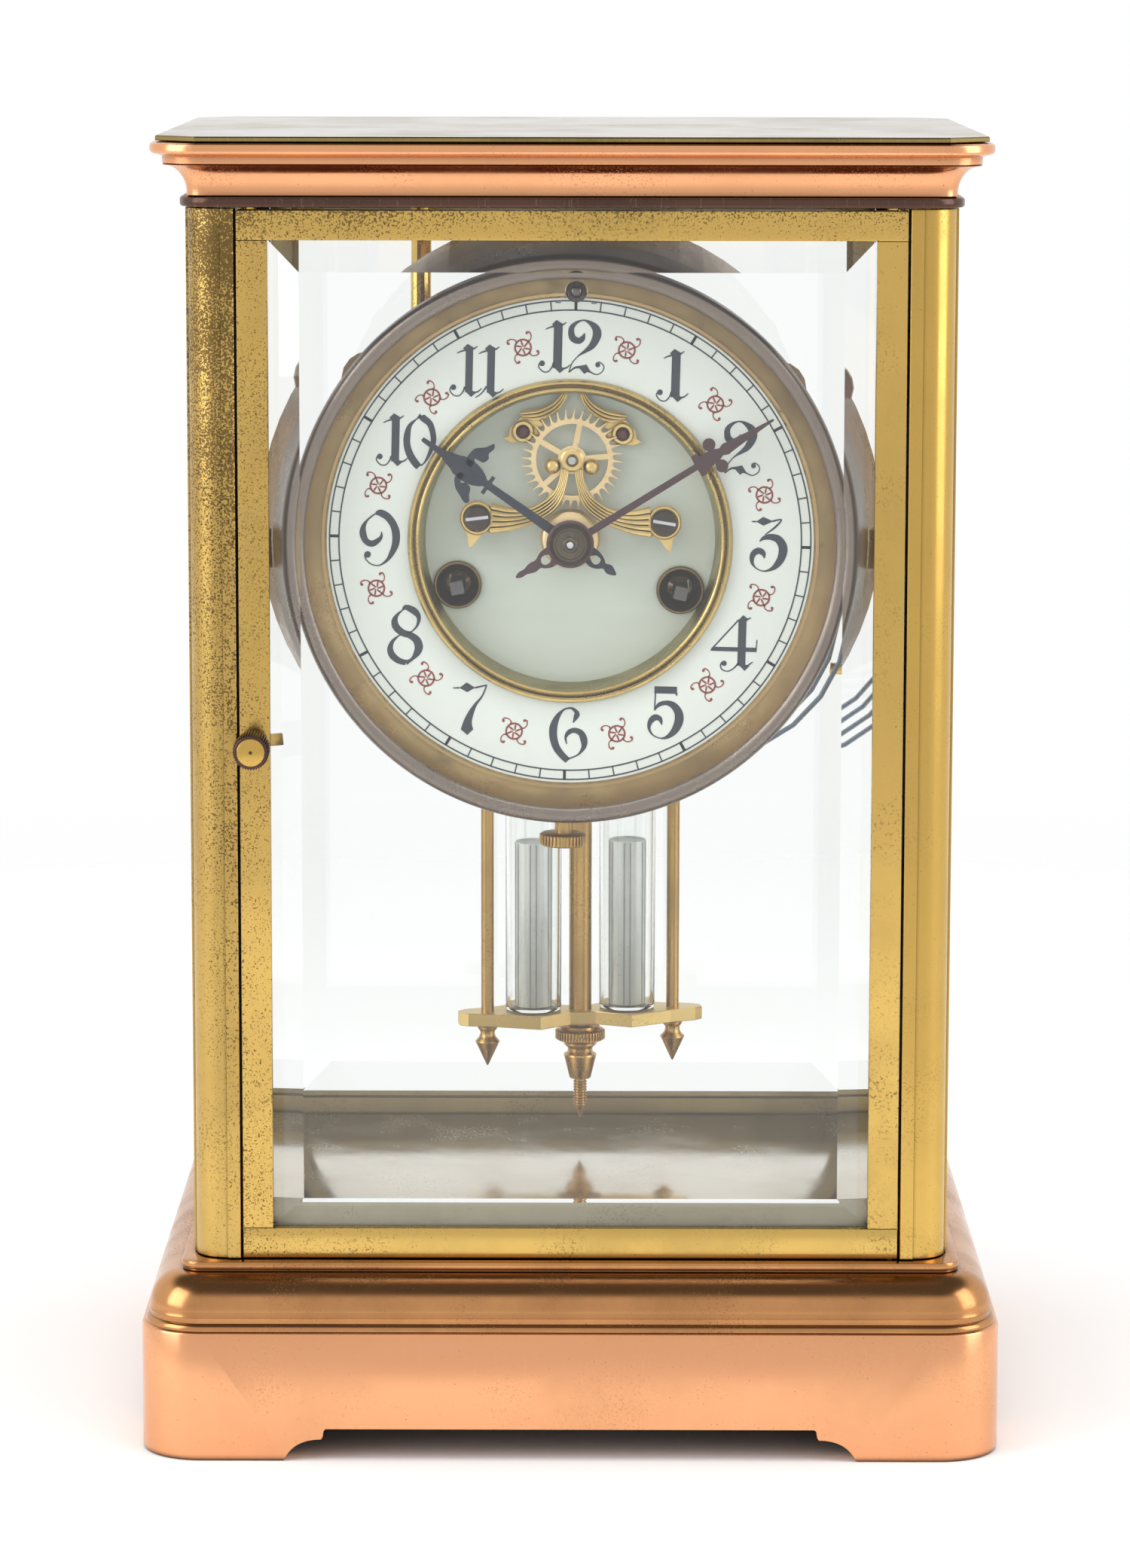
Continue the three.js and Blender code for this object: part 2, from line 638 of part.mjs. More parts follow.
// The cornice is a frame with a thin roof, hollow from below.
function cornice() {
  const level = (inset, z) => ({
    outline: roundedOutline(CORNICE_WIDTH / 2 - inset, CORNICE_DEPTH / 2 - inset,
      CORNICE_CORNER - inset),
    z,
  });
  const foot = HEAD_TOP + SEAT_GAP;
  const cove = Array.from({ length: COVE_STEPS + 1 }, (_, i) => {
    const angle = (i / COVE_STEPS) * QUARTER_TURN;
    const inset = CORNICE_COVE_INSET
      + (CORNICE_FOOT_INSET - CORNICE_COVE_INSET) * Math.cos(angle);
    return level(inset, foot + (CORNICE_COVE_TOP - foot) * Math.sin(angle));
  });
  const body = stacked([
    ...cove,
    level(CORNICE_FRIEZE_INSET, CORNICE_COVE_TOP + SEAT_GAP),
    level(CORNICE_FRIEZE_INSET, CORNICE_FRIEZE_TOP - SEAT_GAP),
    level(CORNICE_BAND_ROUNDING, CORNICE_FRIEZE_TOP),
    level(0, CORNICE_FRIEZE_TOP + CORNICE_BAND_ROUNDING),
    level(0, CORNICE_TOP - CORNICE_BAND_ROUNDING),
    level(CORNICE_BAND_ROUNDING, CORNICE_TOP),
  ]);
  const halfWidth = CORNICE_WIDTH / 2 - CORNICE_WALL;
  const halfDepth = CORNICE_DEPTH / 2 - CORNICE_WALL;
  const hollow = boxBetween([-halfWidth, halfWidth], [-halfDepth, halfDepth],
    [foot - OVERRUN, CORNICE_TOP - CORNICE_ROOF]);
  return cutBy(body, hollow);
}

function lidPlate() {
  const outline = cutCornerOutline(CORNICE_WIDTH / 2 - LID_INSET, CORNICE_DEPTH / 2 - LID_INSET,
    LID_CORNER_CUT);
  return stacked([{ outline, z: CORNICE_TOP + SEAT_GAP }, { outline, z: HEIGHT }]);
}

// A glazed frame drawn in XZ, front face at y = 0, with a rebate for the glass behind its lip.
function panelFrame(width, bottomRail) {
  const glassX = width / 2 - STILE_WIDTH;
  const opening = [PANEL_BOTTOM + bottomRail, PANEL_TOP - TOP_RAIL_HEIGHT];
  const body = boxBetween([-width / 2, width / 2], [0, PANEL_THICKNESS], [PANEL_BOTTOM, PANEL_TOP]);
  const daylight = boxBetween([-glassX, glassX], [-OVERRUN, OVERRUN], opening);
  const rebateX = glassX + FRAME_REBATE;
  const rebate = boxBetween([-rebateX, rebateX], [FRAME_LIP, PANEL_THICKNESS + OVERRUN],
    [opening[0] - FRAME_REBATE, opening[1] + FRAME_REBATE]);
  return cutBy(body, daylight, rebate);
}

// A bevelled glass for a frame of that width, thin at its edge and full thickness inside.
function panelGlass(width, bottomRail) {
  const halfWidth = width / 2 - STILE_WIDTH + FRAME_REBATE - SEAT_GAP;
  const bottom = PANEL_BOTTOM + bottomRail - FRAME_REBATE + SEAT_GAP;
  const top = PANEL_TOP - TOP_RAIL_HEIGHT + FRAME_REBATE - SEAT_GAP;
  const halfHeight = (top - bottom) / 2;
  const outline = (inset) => [
    [inset - halfWidth, inset - halfHeight],
    [halfWidth - inset, inset - halfHeight],
    [halfWidth - inset, halfHeight - inset],
    [inset - halfWidth, halfHeight - inset],
  ];
  const glass = stacked([
    { outline: outline(0), z: -GLASS_THICKNESS },
    { outline: outline(0), z: GLASS_EDGE - GLASS_THICKNESS },
    { outline: outline(GLASS_BEVEL), z: 0 },
  ]);
  glass.rotateX(QUARTER_TURN);
  glass.translate(0, GLASS_SETBACK, (top + bottom) / 2);
  return glass;
}

// The door frame with a bore for its latch and a pivot pin at each end of its hinge stile.
function doorFrame(bottomRail) {
  const frame = panelFrame(DOOR_WIDTH, bottomRail);
  const latchX = LATCH_INSET - DOOR_WIDTH / 2;
  const latchBore = barY(LATCH_STEM_RADIUS + RUNNING_GAP, [-OVERRUN, PANEL_THICKNESS + OVERRUN],
    PIN_SIDES, [latchX, LATCH_HEIGHT]);
  const pinX = DOOR_WIDTH / 2 - DOOR_PIN_INSET;
  const pins = [[PLINTH_TOP - DOOR_PIN_DEPTH, PANEL_BOTTOM + STILE_WIDTH],
    [PANEL_TOP - STILE_WIDTH, CASE_TOP + SEAT_GAP + DOOR_PIN_DEPTH]].map((span) =>
    barZ(DOOR_PIN_RADIUS, span, PIN_SIDES, [pinX, DOOR_PIN_INSET]));
  return joined(cutBy(frame, latchBore), ...pins);
}

// Bores for the door pins, for the front door at the right and the back door at the left.
function doorPinBores([z0, z1]) {
  const pinX = DOOR_WIDTH / 2 - DOOR_PIN_INSET;
  const pinY = DOOR_PIN_INSET - CASE_DEPTH / 2;
  return [1, -1].map((side) =>
    barZ(DOOR_PIN_RADIUS + RUNNING_GAP, [z0, z1], PIN_SIDES, [side * pinX, side * pinY]));
}

// A knurled knob on a stem through the stile, with its tongue behind, its axis at x = z = 0.
function latchKnob() {
  const stemEnd = PANEL_THICKNESS + SEAT_GAP + LATCH_TONGUE_THICKNESS;
  const knob = barY(LATCH_KNOB_RADIUS, [-LATCH_KNOB_LENGTH - LATCH_COLLAR_LENGTH,
    -LATCH_COLLAR_LENGTH], LATCH_KNURLS);
  const collar = barY(LATCH_COLLAR_RADIUS, [-LATCH_COLLAR_LENGTH - SEAT_GAP, -SEAT_GAP],
    PIN_SIDES);
  const stem = barY(LATCH_STEM_RADIUS, [-LATCH_COLLAR_LENGTH, stemEnd], PIN_SIDES);
  const half = LATCH_TONGUE_WIDTH / 2;
  const tongue = boxBetween([-half, LATCH_TONGUE_LENGTH],
    [stemEnd - LATCH_TONGUE_THICKNESS, stemEnd], [-half, half]);
  tongue.rotateY(-LATCH_TONGUE_REST_DEG * DEGREE);
  return joined(knob, collar, stem, tongue);
}

// The bezel ring: a turned rim whose ridged inner slope runs down to the dial, with a bore
// above the 12 for the regulator square.
function bezel() {
  const rim = turnedY([
    [BEZEL_INNER_RADIUS, CHAPTER_FRONT - SEAT_GAP],
    [BEZEL_RIDGE_RADIUS, BEZEL_FRONT + BEZEL_RIDGE_DROP],
    [BEZEL_RIDGE_RADIUS + BEZEL_LIP / 2, BEZEL_FRONT],
    [BEZEL_RADIUS - BEZEL_LIP / 2, BEZEL_FRONT],
    [BEZEL_RADIUS, BEZEL_FRONT + BEZEL_LIP],
    [BEZEL_RADIUS, BEZEL_BACK],
    [BEZEL_RADIUS - BEZEL_LIP, BEZEL_BACK],
    [BEZEL_RADIUS - BEZEL_LIP, CHAPTER_FRONT - SEAT_GAP],
    [BEZEL_INNER_RADIUS, CHAPTER_FRONT - SEAT_GAP],
  ], BEZEL_SIDES);
  return cutBy(rim, regulatorBore());
}

function regulatorBore() {
  return barY(REGULATOR_HOLE, [-DEPTH, 0], PIN_SIDES, [0, REGULATOR_RISE]);
}

function bezelThumbscrew() {
  const head = barZ(THUMBSCREW_RADIUS, [-THUMBSCREW_HEIGHT / 2, THUMBSCREW_HEIGHT / 2], KNURLS);
  const stemTop = THUMBSCREW_DROP - BEZEL_RADIUS - SEAT_GAP;
  const stem = barZ(THUMBSCREW_STEM, [0, stemTop], PIN_SIDES);
  const screw = joined(head, stem);
  screw.translate(0, THUMBSCREW_Y, -THUMBSCREW_DROP);
  return screw;
}

// The drum behind the bezel, open at both ends, with two round ears on its rear flange.
function movementDrum() {
  const front = BEZEL_BACK + SEAT_GAP;
  const shell = turnedY([
    [DRUM_RADIUS - DRUM_WALL, front],
    [DRUM_RADIUS, front],
    [DRUM_RADIUS, DRUM_BACK],
    [DRUM_RADIUS - DRUM_FLANGE, DRUM_BACK],
    [DRUM_RADIUS - DRUM_FLANGE, DRUM_BACK - DRUM_FLANGE_THICKNESS],
    [DRUM_RADIUS - DRUM_WALL, DRUM_BACK - DRUM_FLANGE_THICKNESS],
    [DRUM_RADIUS - DRUM_WALL, front],
  ], DRUM_SIDES);
  const lugs = [LUG_ANGLE_DEG, 180 - LUG_ANGLE_DEG].map((angle) => {
    const place = onCircle(LUG_CENTRE_RADIUS, angle);
    return barY(LUG_RADIUS, [DRUM_BACK - DRUM_FLANGE_THICKNESS, DRUM_BACK], LUG_SIDES, place);
  });
  const bore = barY(DRUM_RADIUS - DRUM_WALL, [-DEPTH, DRUM_BACK - DRUM_FLANGE_THICKNESS],
    DRUM_SIDES);
  return cutBy(joined(shell, ...lugs), bore);
}

// A place on a circle about the hand arbor: degrees from the +X side towards +Z.
function onCircle(radius, angle) {
  return [radius * Math.cos(angle * DEGREE), radius * Math.sin(angle * DEGREE)];
}

function sideBracket(side) {
  const inner = DRUM_RADIUS + SEAT_GAP;
  const outer = CASE_WIDTH / 2 - PANEL_THICKNESS - SEAT_GAP;
  const halfHeight = BRACKET_HEIGHT / 2;
  const front = BEZEL_BACK + SEAT_GAP;
  const bar = boxBetween([inner - OVERRUN, outer], [front, front + BRACKET_DEPTH],
    [BRACKET_Z - halfHeight, BRACKET_Z + halfHeight]);
  const clearance = barY(BEZEL_RADIUS + SEAT_GAP, [-DEPTH, DEPTH], DRUM_SIDES,
    [side * DIAL_X, DIAL_Z]);
  const bracket = cutBy(bar, clearance);
  if (side < 0) bracket.rotateZ(Math.PI).translate(0, 2 * front + BRACKET_DEPTH, 0);
  return bracket;
}

// The white ring with the hour figures, pierced for the winding and regulator arbors.
function chapterRing() {
  const ring = turnedY([
    [GILT_OUTER_RADIUS - GILT_WALL, CHAPTER_FRONT],
    [GILT_OUTER_RADIUS - GILT_WALL, CHAPTER_FRONT + CHAPTER_THICKNESS],
    [CHAPTER_RADIUS, CHAPTER_FRONT + CHAPTER_THICKNESS],
    [CHAPTER_RADIUS, CHAPTER_FRONT],
    [GILT_OUTER_RADIUS - GILT_WALL, CHAPTER_FRONT],
  ].reverse(), BEZEL_SIDES);
  return cutBy(ring, regulatorBore());
}

// The gilt ring covers the joint of ring and centre; its wall is slotted for the pallets.
function giltRing() {
  const front = CHAPTER_FRONT - SEAT_GAP;
  const wallBack = DISC_FRONT - SEAT_GAP;
  const wallRadius = GILT_OUTER_RADIUS - GILT_WALL - SEAT_GAP;
  const ring = turnedY([
    [GILT_INNER_RADIUS, front - GILT_STAND / 2],
    [wallRadius, front - GILT_STAND],
    [GILT_OUTER_RADIUS, front - GILT_STAND / 2],
    [GILT_OUTER_RADIUS, front],
    [wallRadius, front],
    [wallRadius, wallBack],
    [GILT_INNER_RADIUS, wallBack],
    [GILT_INNER_RADIUS, front - GILT_STAND / 2],
  ], BEZEL_SIDES);
  const slot = boxBetween([-ANCHOR_SLOT_HALF, ANCHOR_SLOT_HALF],
    [ANCHOR_FRONT - RUNNING_GAP, wallBack + OVERRUN], [0, DISC_RADIUS]);
  return cutBy(ring, slot);
}

// The recessed centre with its holes for the hands, the winding squares and the escapement.
function centreDisc() {
  const back = DISC_FRONT + DISC_THICKNESS;
  const disc = barY(DISC_RADIUS, [DISC_FRONT, back], DRUM_SIDES);
  const through = [DISC_FRONT - OVERRUN, back + OVERRUN];
  const holes = [
    [WINDING_HOLE, [WINDING_X, -WINDING_DROP]],
    [WINDING_HOLE, [-WINDING_X, -WINDING_DROP]],
    [HOUR_PIPE_RADIUS + RUNNING_GAP, [0, 0]],
    [ARBOR_RADIUS + RUNNING_GAP, [0, ESCAPE_RISE]],
    [ARBOR_RADIUS + RUNNING_GAP, [0, PALLET_ARBOR_RISE]],
  ];
  const bores = holes.map(([radius, place]) => barY(radius, through, LUG_SIDES, place));
  const ferrules = [-1, 1].map((side) => barY(FERRULE_RADIUS, [DISC_FRONT - FERRULE_STAND,
    DISC_FRONT + SEAT_GAP], FERRULE_SIDES, [side * WINDING_X, -WINDING_DROP]));
  const boss = barY(BOSS_RADIUS - BOSS_STAND / 2, [DISC_FRONT - BOSS_STAND,
    DISC_FRONT + SEAT_GAP], FERRULE_SIDES, [0, 0], BOSS_RADIUS);
  return cutBy(joined(disc, ...ferrules, boss), ...bores);
}

// A movement plate with a hole for each arbor that passes it.
function movementPlate(y0) {
  const through = [y0 - OVERRUN, y0 + PLATE_THICKNESS + OVERRUN];
  const arbors = [[WINDING_X, -WINDING_DROP], [-WINDING_X, -WINDING_DROP], [0, 0],
    [0, ESCAPE_RISE], [0, PALLET_ARBOR_RISE], [THIRD_X, THIRD_RISE]];
  const plate = barY(PLATE_RADIUS, [y0, y0 + PLATE_THICKNESS], DRUM_SIDES);
  const holes = arbors.map((place) =>
    barY(SQUARE_HALF * Math.SQRT2 + RUNNING_GAP, through, PIN_SIDES, place));
  return cutBy(plate, ...holes);
}

// The back plate with the pillars riveted to it.
function backPlate() {
  const span = [FRONT_PLATE_Y + PLATE_THICKNESS + SEAT_GAP, BACK_PLATE_Y + SEAT_GAP];
  const pillars = PILLAR_ANGLES_DEG.map((angle) =>
    barY(PILLAR_RADIUS, span, PIN_SIDES, onCircle(PILLAR_CIRCLE, angle)));
  return joined(movementPlate(BACK_PLATE_Y), ...pillars);
}

// A toothed disc outline; lean shifts each tip along the rim as a share of the tooth pitch.
function toothedShape(tipRadius, rootRadius, teeth, lean) {
  const points = [];
  for (let i = 0; i < teeth; i++) {
    TOOTH_SHARES.forEach(([turnShare, atTip]) => {
      const turn = (i + turnShare + (atTip ? lean : 0)) / teeth;
      const angle = turn * FULL_TURN;
      const radius = atTip ? tipRadius : rootRadius;
      points.push([radius * Math.cos(angle), radius * Math.sin(angle)]);
    });
  }
  return shapeOf(points);
}

function toothedWheel(radius, teeth, [y0, y1], place = [0, 0]) {
  const wheel = plateY(toothedShape(radius, radius - TOOTH_DEPTH, teeth, 0), [y0, y1]);
  return wheel.translate(place[0], 0, place[1]);
}

// A barrel with its great wheel and the squared winding arbor through both plates.
function barrel(side) {
  const place = [side * WINDING_X, -WINDING_DROP];
  const drum = barY(BARREL_RADIUS, [BARREL_Y, BARREL_Y + BARREL_LENGTH], FERRULE_SIDES, place);
  const bore = barY(SQUARE_HALF * Math.SQRT2 + RUNNING_GAP, [-DEPTH, DEPTH], PIN_SIDES, place);
  const wheelY = BARREL_Y + BARREL_LENGTH;
  const wheel = toothedWheel(GREAT_WHEEL_RADIUS, GREAT_WHEEL_TEETH,
    [wheelY - SEAT_GAP, wheelY + WHEEL_THICKNESS], place);
  return cutBy(joined(drum, wheel), bore);
}

function windingArbor(side) {
  const place = [side * WINDING_X, -WINDING_DROP];
  const back = BACK_PLATE_Y + PLATE_THICKNESS + SEAT_GAP;
  const round = barY(SQUARE_HALF, [FRONT_PLATE_Y - SEAT_GAP, back], PIN_SIDES, place);
  const square = boxBetween([place[0] - SQUARE_HALF, place[0] + SQUARE_HALF],
    [SQUARE_FRONT, FRONT_PLATE_Y], [place[1] - SQUARE_HALF, place[1] + SQUARE_HALF]);
  return joined(round, square);
}

// The regulator square above the 12, its collar running in the bore of the bezel and dial.
function regulatorArbor() {
  const back = FRONT_PLATE_Y - SEAT_GAP;
  const square = boxBetween([-REGULATOR_HALF, REGULATOR_HALF], [REGULATOR_FRONT, back],
    [REGULATOR_RISE - REGULATOR_HALF, REGULATOR_RISE + REGULATOR_HALF]);
  const collar = barY(REGULATOR_HOLE - RUNNING_GAP, [CHAPTER_FRONT - REGULATOR_HALF,
    CHAPTER_FRONT + CHAPTER_THICKNESS], PIN_SIDES, [0, REGULATOR_RISE]);
  return joined(square, collar);
}

// The centre arbor with its wheel and pinion, running in both plates.
function centreWheel() {
  const ends = [FRONT_PLATE_Y, BACK_PLATE_Y + PLATE_THICKNESS];
  const arbor = barY(ARBOR_RADIUS, ends, PIN_SIDES);
  const wheel = toothedWheel(CENTRE_WHEEL_RADIUS, CENTRE_WHEEL_TEETH,
    [CENTRE_WHEEL_Y, CENTRE_WHEEL_Y + WHEEL_THICKNESS]);
  const pinion = toothedWheel(CENTRE_PINION_RADIUS, PINION_LEAVES,
    [CENTRE_WHEEL_Y - PINION_LENGTH, CENTRE_WHEEL_Y + SEAT_GAP]);
  return joined(arbor, wheel, pinion);
}

function thirdWheel() {
  const ends = [FRONT_PLATE_Y, BACK_PLATE_Y + PLATE_THICKNESS];
  const arbor = barY(ARBOR_RADIUS, ends, PIN_SIDES);
  const wheel = toothedWheel(THIRD_WHEEL_RADIUS, THIRD_WHEEL_TEETH,
    [THIRD_WHEEL_Y, THIRD_WHEEL_Y + WHEEL_THICKNESS]);
  const pinion = toothedWheel(THIRD_PINION_RADIUS, PINION_LEAVES,
    [THIRD_WHEEL_Y - PINION_LENGTH, THIRD_WHEEL_Y + SEAT_GAP]);
  return joined(arbor, wheel, pinion).translate(THIRD_X, 0, THIRD_RISE);
}

// The escape wheel in front of the dial centre, with its pinion between the plates.
function escapeWheel() {
  const back = ESCAPE_FRONT + ESCAPE_THICKNESS;
  const span = [ESCAPE_FRONT, back];
  const rim = plateY(toothedShape(ESCAPE_RADIUS, ESCAPE_ROOT_RADIUS, ESCAPE_TEETH,
    ESCAPE_LEAN_SHARE), span);
  const hollow = barY(ESCAPE_RIM_INNER, [ESCAPE_FRONT - OVERRUN, back + OVERRUN], FERRULE_SIDES);
  const hub = barY(ESCAPE_HUB_RADIUS, span, PIN_SIDES);
  const spokes = Array.from({ length: ESCAPE_SPOKES }, (_, i) => {
    const spoke = boxBetween([0, ESCAPE_RIM_INNER + SEAT_GAP], span,
      [-ESCAPE_SPOKE_WIDTH / 2, ESCAPE_SPOKE_WIDTH / 2]);
    return spoke.rotateY(-(i * FULL_TURN) / ESCAPE_SPOKES - ESCAPE_SPOKE_START_DEG * DEGREE);
  });
  const arbor = barY(ARBOR_RADIUS, [BRIDGE_FRONT, BACK_PLATE_Y + PLATE_THICKNESS], PIN_SIDES);
  const pinion = toothedWheel(ESCAPE_PINION_RADIUS, PINION_LEAVES,
    [THIRD_WHEEL_Y - PINION_LENGTH / 2, THIRD_WHEEL_Y + PINION_LENGTH / 2]);
  return joined(cutBy(rim, hollow), hub, ...spokes, arbor, pinion).translate(0, 0, ESCAPE_RISE);
}

function pinnedShape(halfPoints) {
  const mirrored = halfPoints.map(([x, z]) => [-x, z]).reverse();
  const points = [...halfPoints, ...mirrored].filter(([x, z], i, all) => {
    const [nextX, nextZ] = all[(i + 1) % all.length];
    return Math.hypot(x - nextX, z - nextZ) > MERGE_DISTANCE;
  });
  return shapeOf(points);
}

// The lyre-shaped pallet anchor with its two jewels, fixed on its arbor above the dial centre.
function palletAnchor() {
  const rise = PALLET_ARBOR_RISE - JEWEL_RISE;
  const outline = ANCHOR_SHARES.map(([xShare, zShare]) =>
    [xShare * JEWEL_X, JEWEL_RISE + zShare * rise]);
  const plate = plateY(pinnedShape(outline), [ANCHOR_FRONT, ANCHOR_FRONT + ANCHOR_THICKNESS]);
  const jewels = [-1, 1].map((side) => barY(JEWEL_RADIUS,
    [JEWEL_FRONT, ANCHOR_FRONT + SEAT_GAP], PIN_SIDES, [side * JEWEL_X, JEWEL_RISE]));
  const arbor = barY(ARBOR_RADIUS, [ANCHOR_FRONT, CRUTCH_Y - SEAT_GAP], PIN_SIDES,
    [0, PALLET_ARBOR_RISE]);
  return joined(plate, ...jewels, arbor);
}

// The ornate bridge in front of the escape wheel, on two feet with a screw through each.
function escapeBridge() {
  const span = [BRIDGE_FRONT, BRIDGE_FRONT + BRIDGE_THICKNESS];
  const reach = ESCAPE_RISE - BRIDGE_FOOT_RISE;
  const outline = BRIDGE_SHARES.map(([xShare, zShare]) =>
    [xShare * BRIDGE_FOOT_X, ESCAPE_RISE + zShare * reach]);
  const plate = plateY(pinnedShape(outline), span);
  const ring = barY(BRIDGE_RING_RADIUS, span, LUG_SIDES, [0, ESCAPE_RISE]);
  const through = [BRIDGE_FRONT - OVERRUN, DISC_FRONT];
  const feet = [-1, 1].map((side) => barY(BRIDGE_BOSS_RADIUS,
    [BRIDGE_FRONT, DISC_FRONT - SEAT_GAP], LUG_SIDES, [side * BRIDGE_FOOT_X, BRIDGE_FOOT_RISE]));
  const hubBore = barY(BRIDGE_HOLE, through, PIN_SIDES, [0, ESCAPE_RISE]);
  const screws = [-1, 1].map((side) => barY(BRIDGE_SCREW_RADIUS,
    [BRIDGE_FRONT - BRIDGE_THICKNESS, BRIDGE_FRONT + SEAT_GAP], LUG_SIDES,
    [side * BRIDGE_FOOT_X, BRIDGE_FOOT_RISE]));
  return cutBy(joined(plate, ring, ...feet, ...screws), hubBore);
}

// A hand pointing up from its boss: tapered arm, pierced loop, point and tail.
function hand({ front, length, loopReach, tail, bore }) {
  const span = [front, front + HAND_THICKNESS];
  const half = HAND_WIDTH / 2;
  const arm = plateY(shapeOf([[-half, -tail], [half, -tail], [half, 0],
    [half / 2, loopReach], [-half / 2, loopReach], [-half, 0]]), span);
  const loop = barY(HAND_LOOP_RADIUS, span, LUG_SIDES, [0, loopReach]);
  const point = plateY(shapeOf([[-half, loopReach], [half, loopReach], [half / 2, length],
    [-half / 2, length]]), span);
  const boss = barY(HAND_BOSS_RADIUS, span, LUG_SIDES);
  const through = [front - OVERRUN, front + OVERRUN];
  const eye = barY(HAND_LOOP_HOLE, through, LUG_SIDES, [0, loopReach]);
  const hole = barY(bore, through, PIN_SIDES);
  return cutBy(joined(arm, loop, point, boss), eye, hole);
}

function minuteHand() {
  const shape = hand({ front: MINUTE_HAND_FRONT, length: MINUTE_HAND_LENGTH,
    loopReach: MINUTE_LOOP_REACH, tail: MINUTE_TAIL, bore: CANNON_TUBE + SEAT_GAP });
  return shape.rotateY(MINUTE_HAND_ANGLE_DEG * DEGREE);
}

function hourHand() {
  const shape = hand({ front: HOUR_HAND_FRONT, length: HOUR_HAND_LENGTH,
    loopReach: HOUR_LOOP_REACH, tail: HOUR_TAIL, bore: HOUR_PIPE_BORE });
  return shape.rotateY(HOUR_HAND_ANGLE_DEG * DEGREE);
}

// The cannon pinion, a tube that carries the minute hand, closed by the hand nut.
function cannonPinion() {
  const nutBack = MINUTE_HAND_FRONT - SEAT_GAP;
  const tube = barY(CANNON_TUBE, [nutBack - SEAT_GAP, FRONT_PLATE_Y - SEAT_GAP], PIN_SIDES);
  const nut = barY(HAND_NUT_RADIUS, [nutBack - HAND_NUT_LENGTH, nutBack], LUG_SIDES);
  const pinion = toothedWheel(CANNON_RADIUS, PINION_LEAVES, [MOTION_Y, MOTION_Y + MOTION_STEP]);
  return joined(tube, nut, pinion);
}

function minuteWheel() {
  const place = [MINUTE_WHEEL_X, 0];
  const stud = barY(ARBOR_RADIUS, [MOTION_Y - MOTION_STEP, FRONT_PLATE_Y - SEAT_GAP],
    PIN_SIDES, place);
  const wheel = toothedWheel(MINUTE_WHEEL_RADIUS, CENTRE_WHEEL_TEETH,
    [MOTION_Y, MOTION_Y + WHEEL_THICKNESS], place);
  const pinion = toothedWheel(MINUTE_PINION_RADIUS, PINION_LEAVES,
    [MOTION_Y - MOTION_STEP, MOTION_Y + SEAT_GAP], place);
  return joined(stud, wheel, pinion);
}

function hourWheel() {
  const wheelSpan = [MOTION_Y - MOTION_STEP, MOTION_Y - RUNNING_GAP];
  const wheel = toothedWheel(HOUR_WHEEL_RADIUS, CENTRE_WHEEL_TEETH, wheelSpan);
  const pipe = barY(HOUR_PIPE_RADIUS, [HOUR_HAND_FRONT + HAND_THICKNESS + SEAT_GAP,
    MOTION_Y - RUNNING_GAP], PIN_SIDES);
  const bore = barY(HOUR_PIPE_BORE, [-DEPTH, 0], PIN_SIDES);
  return cutBy(joined(wheel, pipe), bore);
}

// The crutch: an arm down from the pallet arbor and a fork that embraces the pendulum rod.
function crutch(arborX, arborZ) {
  const half = CRUTCH_WIDTH / 2;
  const span = [CRUTCH_Y, CRUTCH_Y + CRUTCH_THICKNESS];
  const bottom = arborZ - CRUTCH_LENGTH;
  const boss = barY(CRUTCH_WIDTH, span, LUG_SIDES, [arborX, arborZ]);
  const arm = boxBetween([arborX - half, arborX + half], span, [bottom, arborZ]);
  const slotHalf = ROD_RADIUS + RUNNING_GAP;
  const forkHalf = slotHalf + CRUTCH_TINE;
  const forkEnd = PENDULUM_Y + forkHalf;
  const forkSpan = [bottom, bottom + CRUTCH_THICKNESS];
  const fork = boxBetween([PENDULUM_X - forkHalf, PENDULUM_X + forkHalf], [CRUTCH_Y, forkEnd],
    forkSpan);
  const slot = boxBetween([PENDULUM_X - slotHalf, PENDULUM_X + slotHalf],
    [PENDULUM_Y - forkHalf, forkEnd + OVERRUN], [bottom - OVERRUN, bottom + OVERRUN]);
  return cutBy(joined(boss, arm, fork), slot);
}

// The suspension cock behind the back plate, slit to hold the pendulum spring.
function suspensionCock() {
  const plateBack = BACK_PLATE_Y + PLATE_THICKNESS + SEAT_GAP;
  const end = PENDULUM_Y + SPRING_WIDTH;
  const arm = boxBetween([PENDULUM_X - COCK_HALF_WIDTH, PENDULUM_X + COCK_HALF_WIDTH],
    [plateBack, end], [COCK_BOTTOM, COCK_TOP]);
  const slotReach = SPRING_WIDTH / 2 + RUNNING_GAP;
  const slot = boxBetween([PENDULUM_X - COCK_SLOT, PENDULUM_X + COCK_SLOT],
    [PENDULUM_Y - slotReach, PENDULUM_Y + slotReach],
    [COCK_BOTTOM - OVERRUN, COCK_BOTTOM + COCK_SLOT_DEPTH]);
  return cutBy(arm, slot);
}

function suspensionSpring() {
  const half = SPRING_THICKNESS / 2;
  return boxBetween([PENDULUM_X - half, PENDULUM_X + half],
    [PENDULUM_Y - SPRING_WIDTH / 2, PENDULUM_Y + SPRING_WIDTH / 2], [SPRING_BOTTOM, SPRING_TOP]);
}

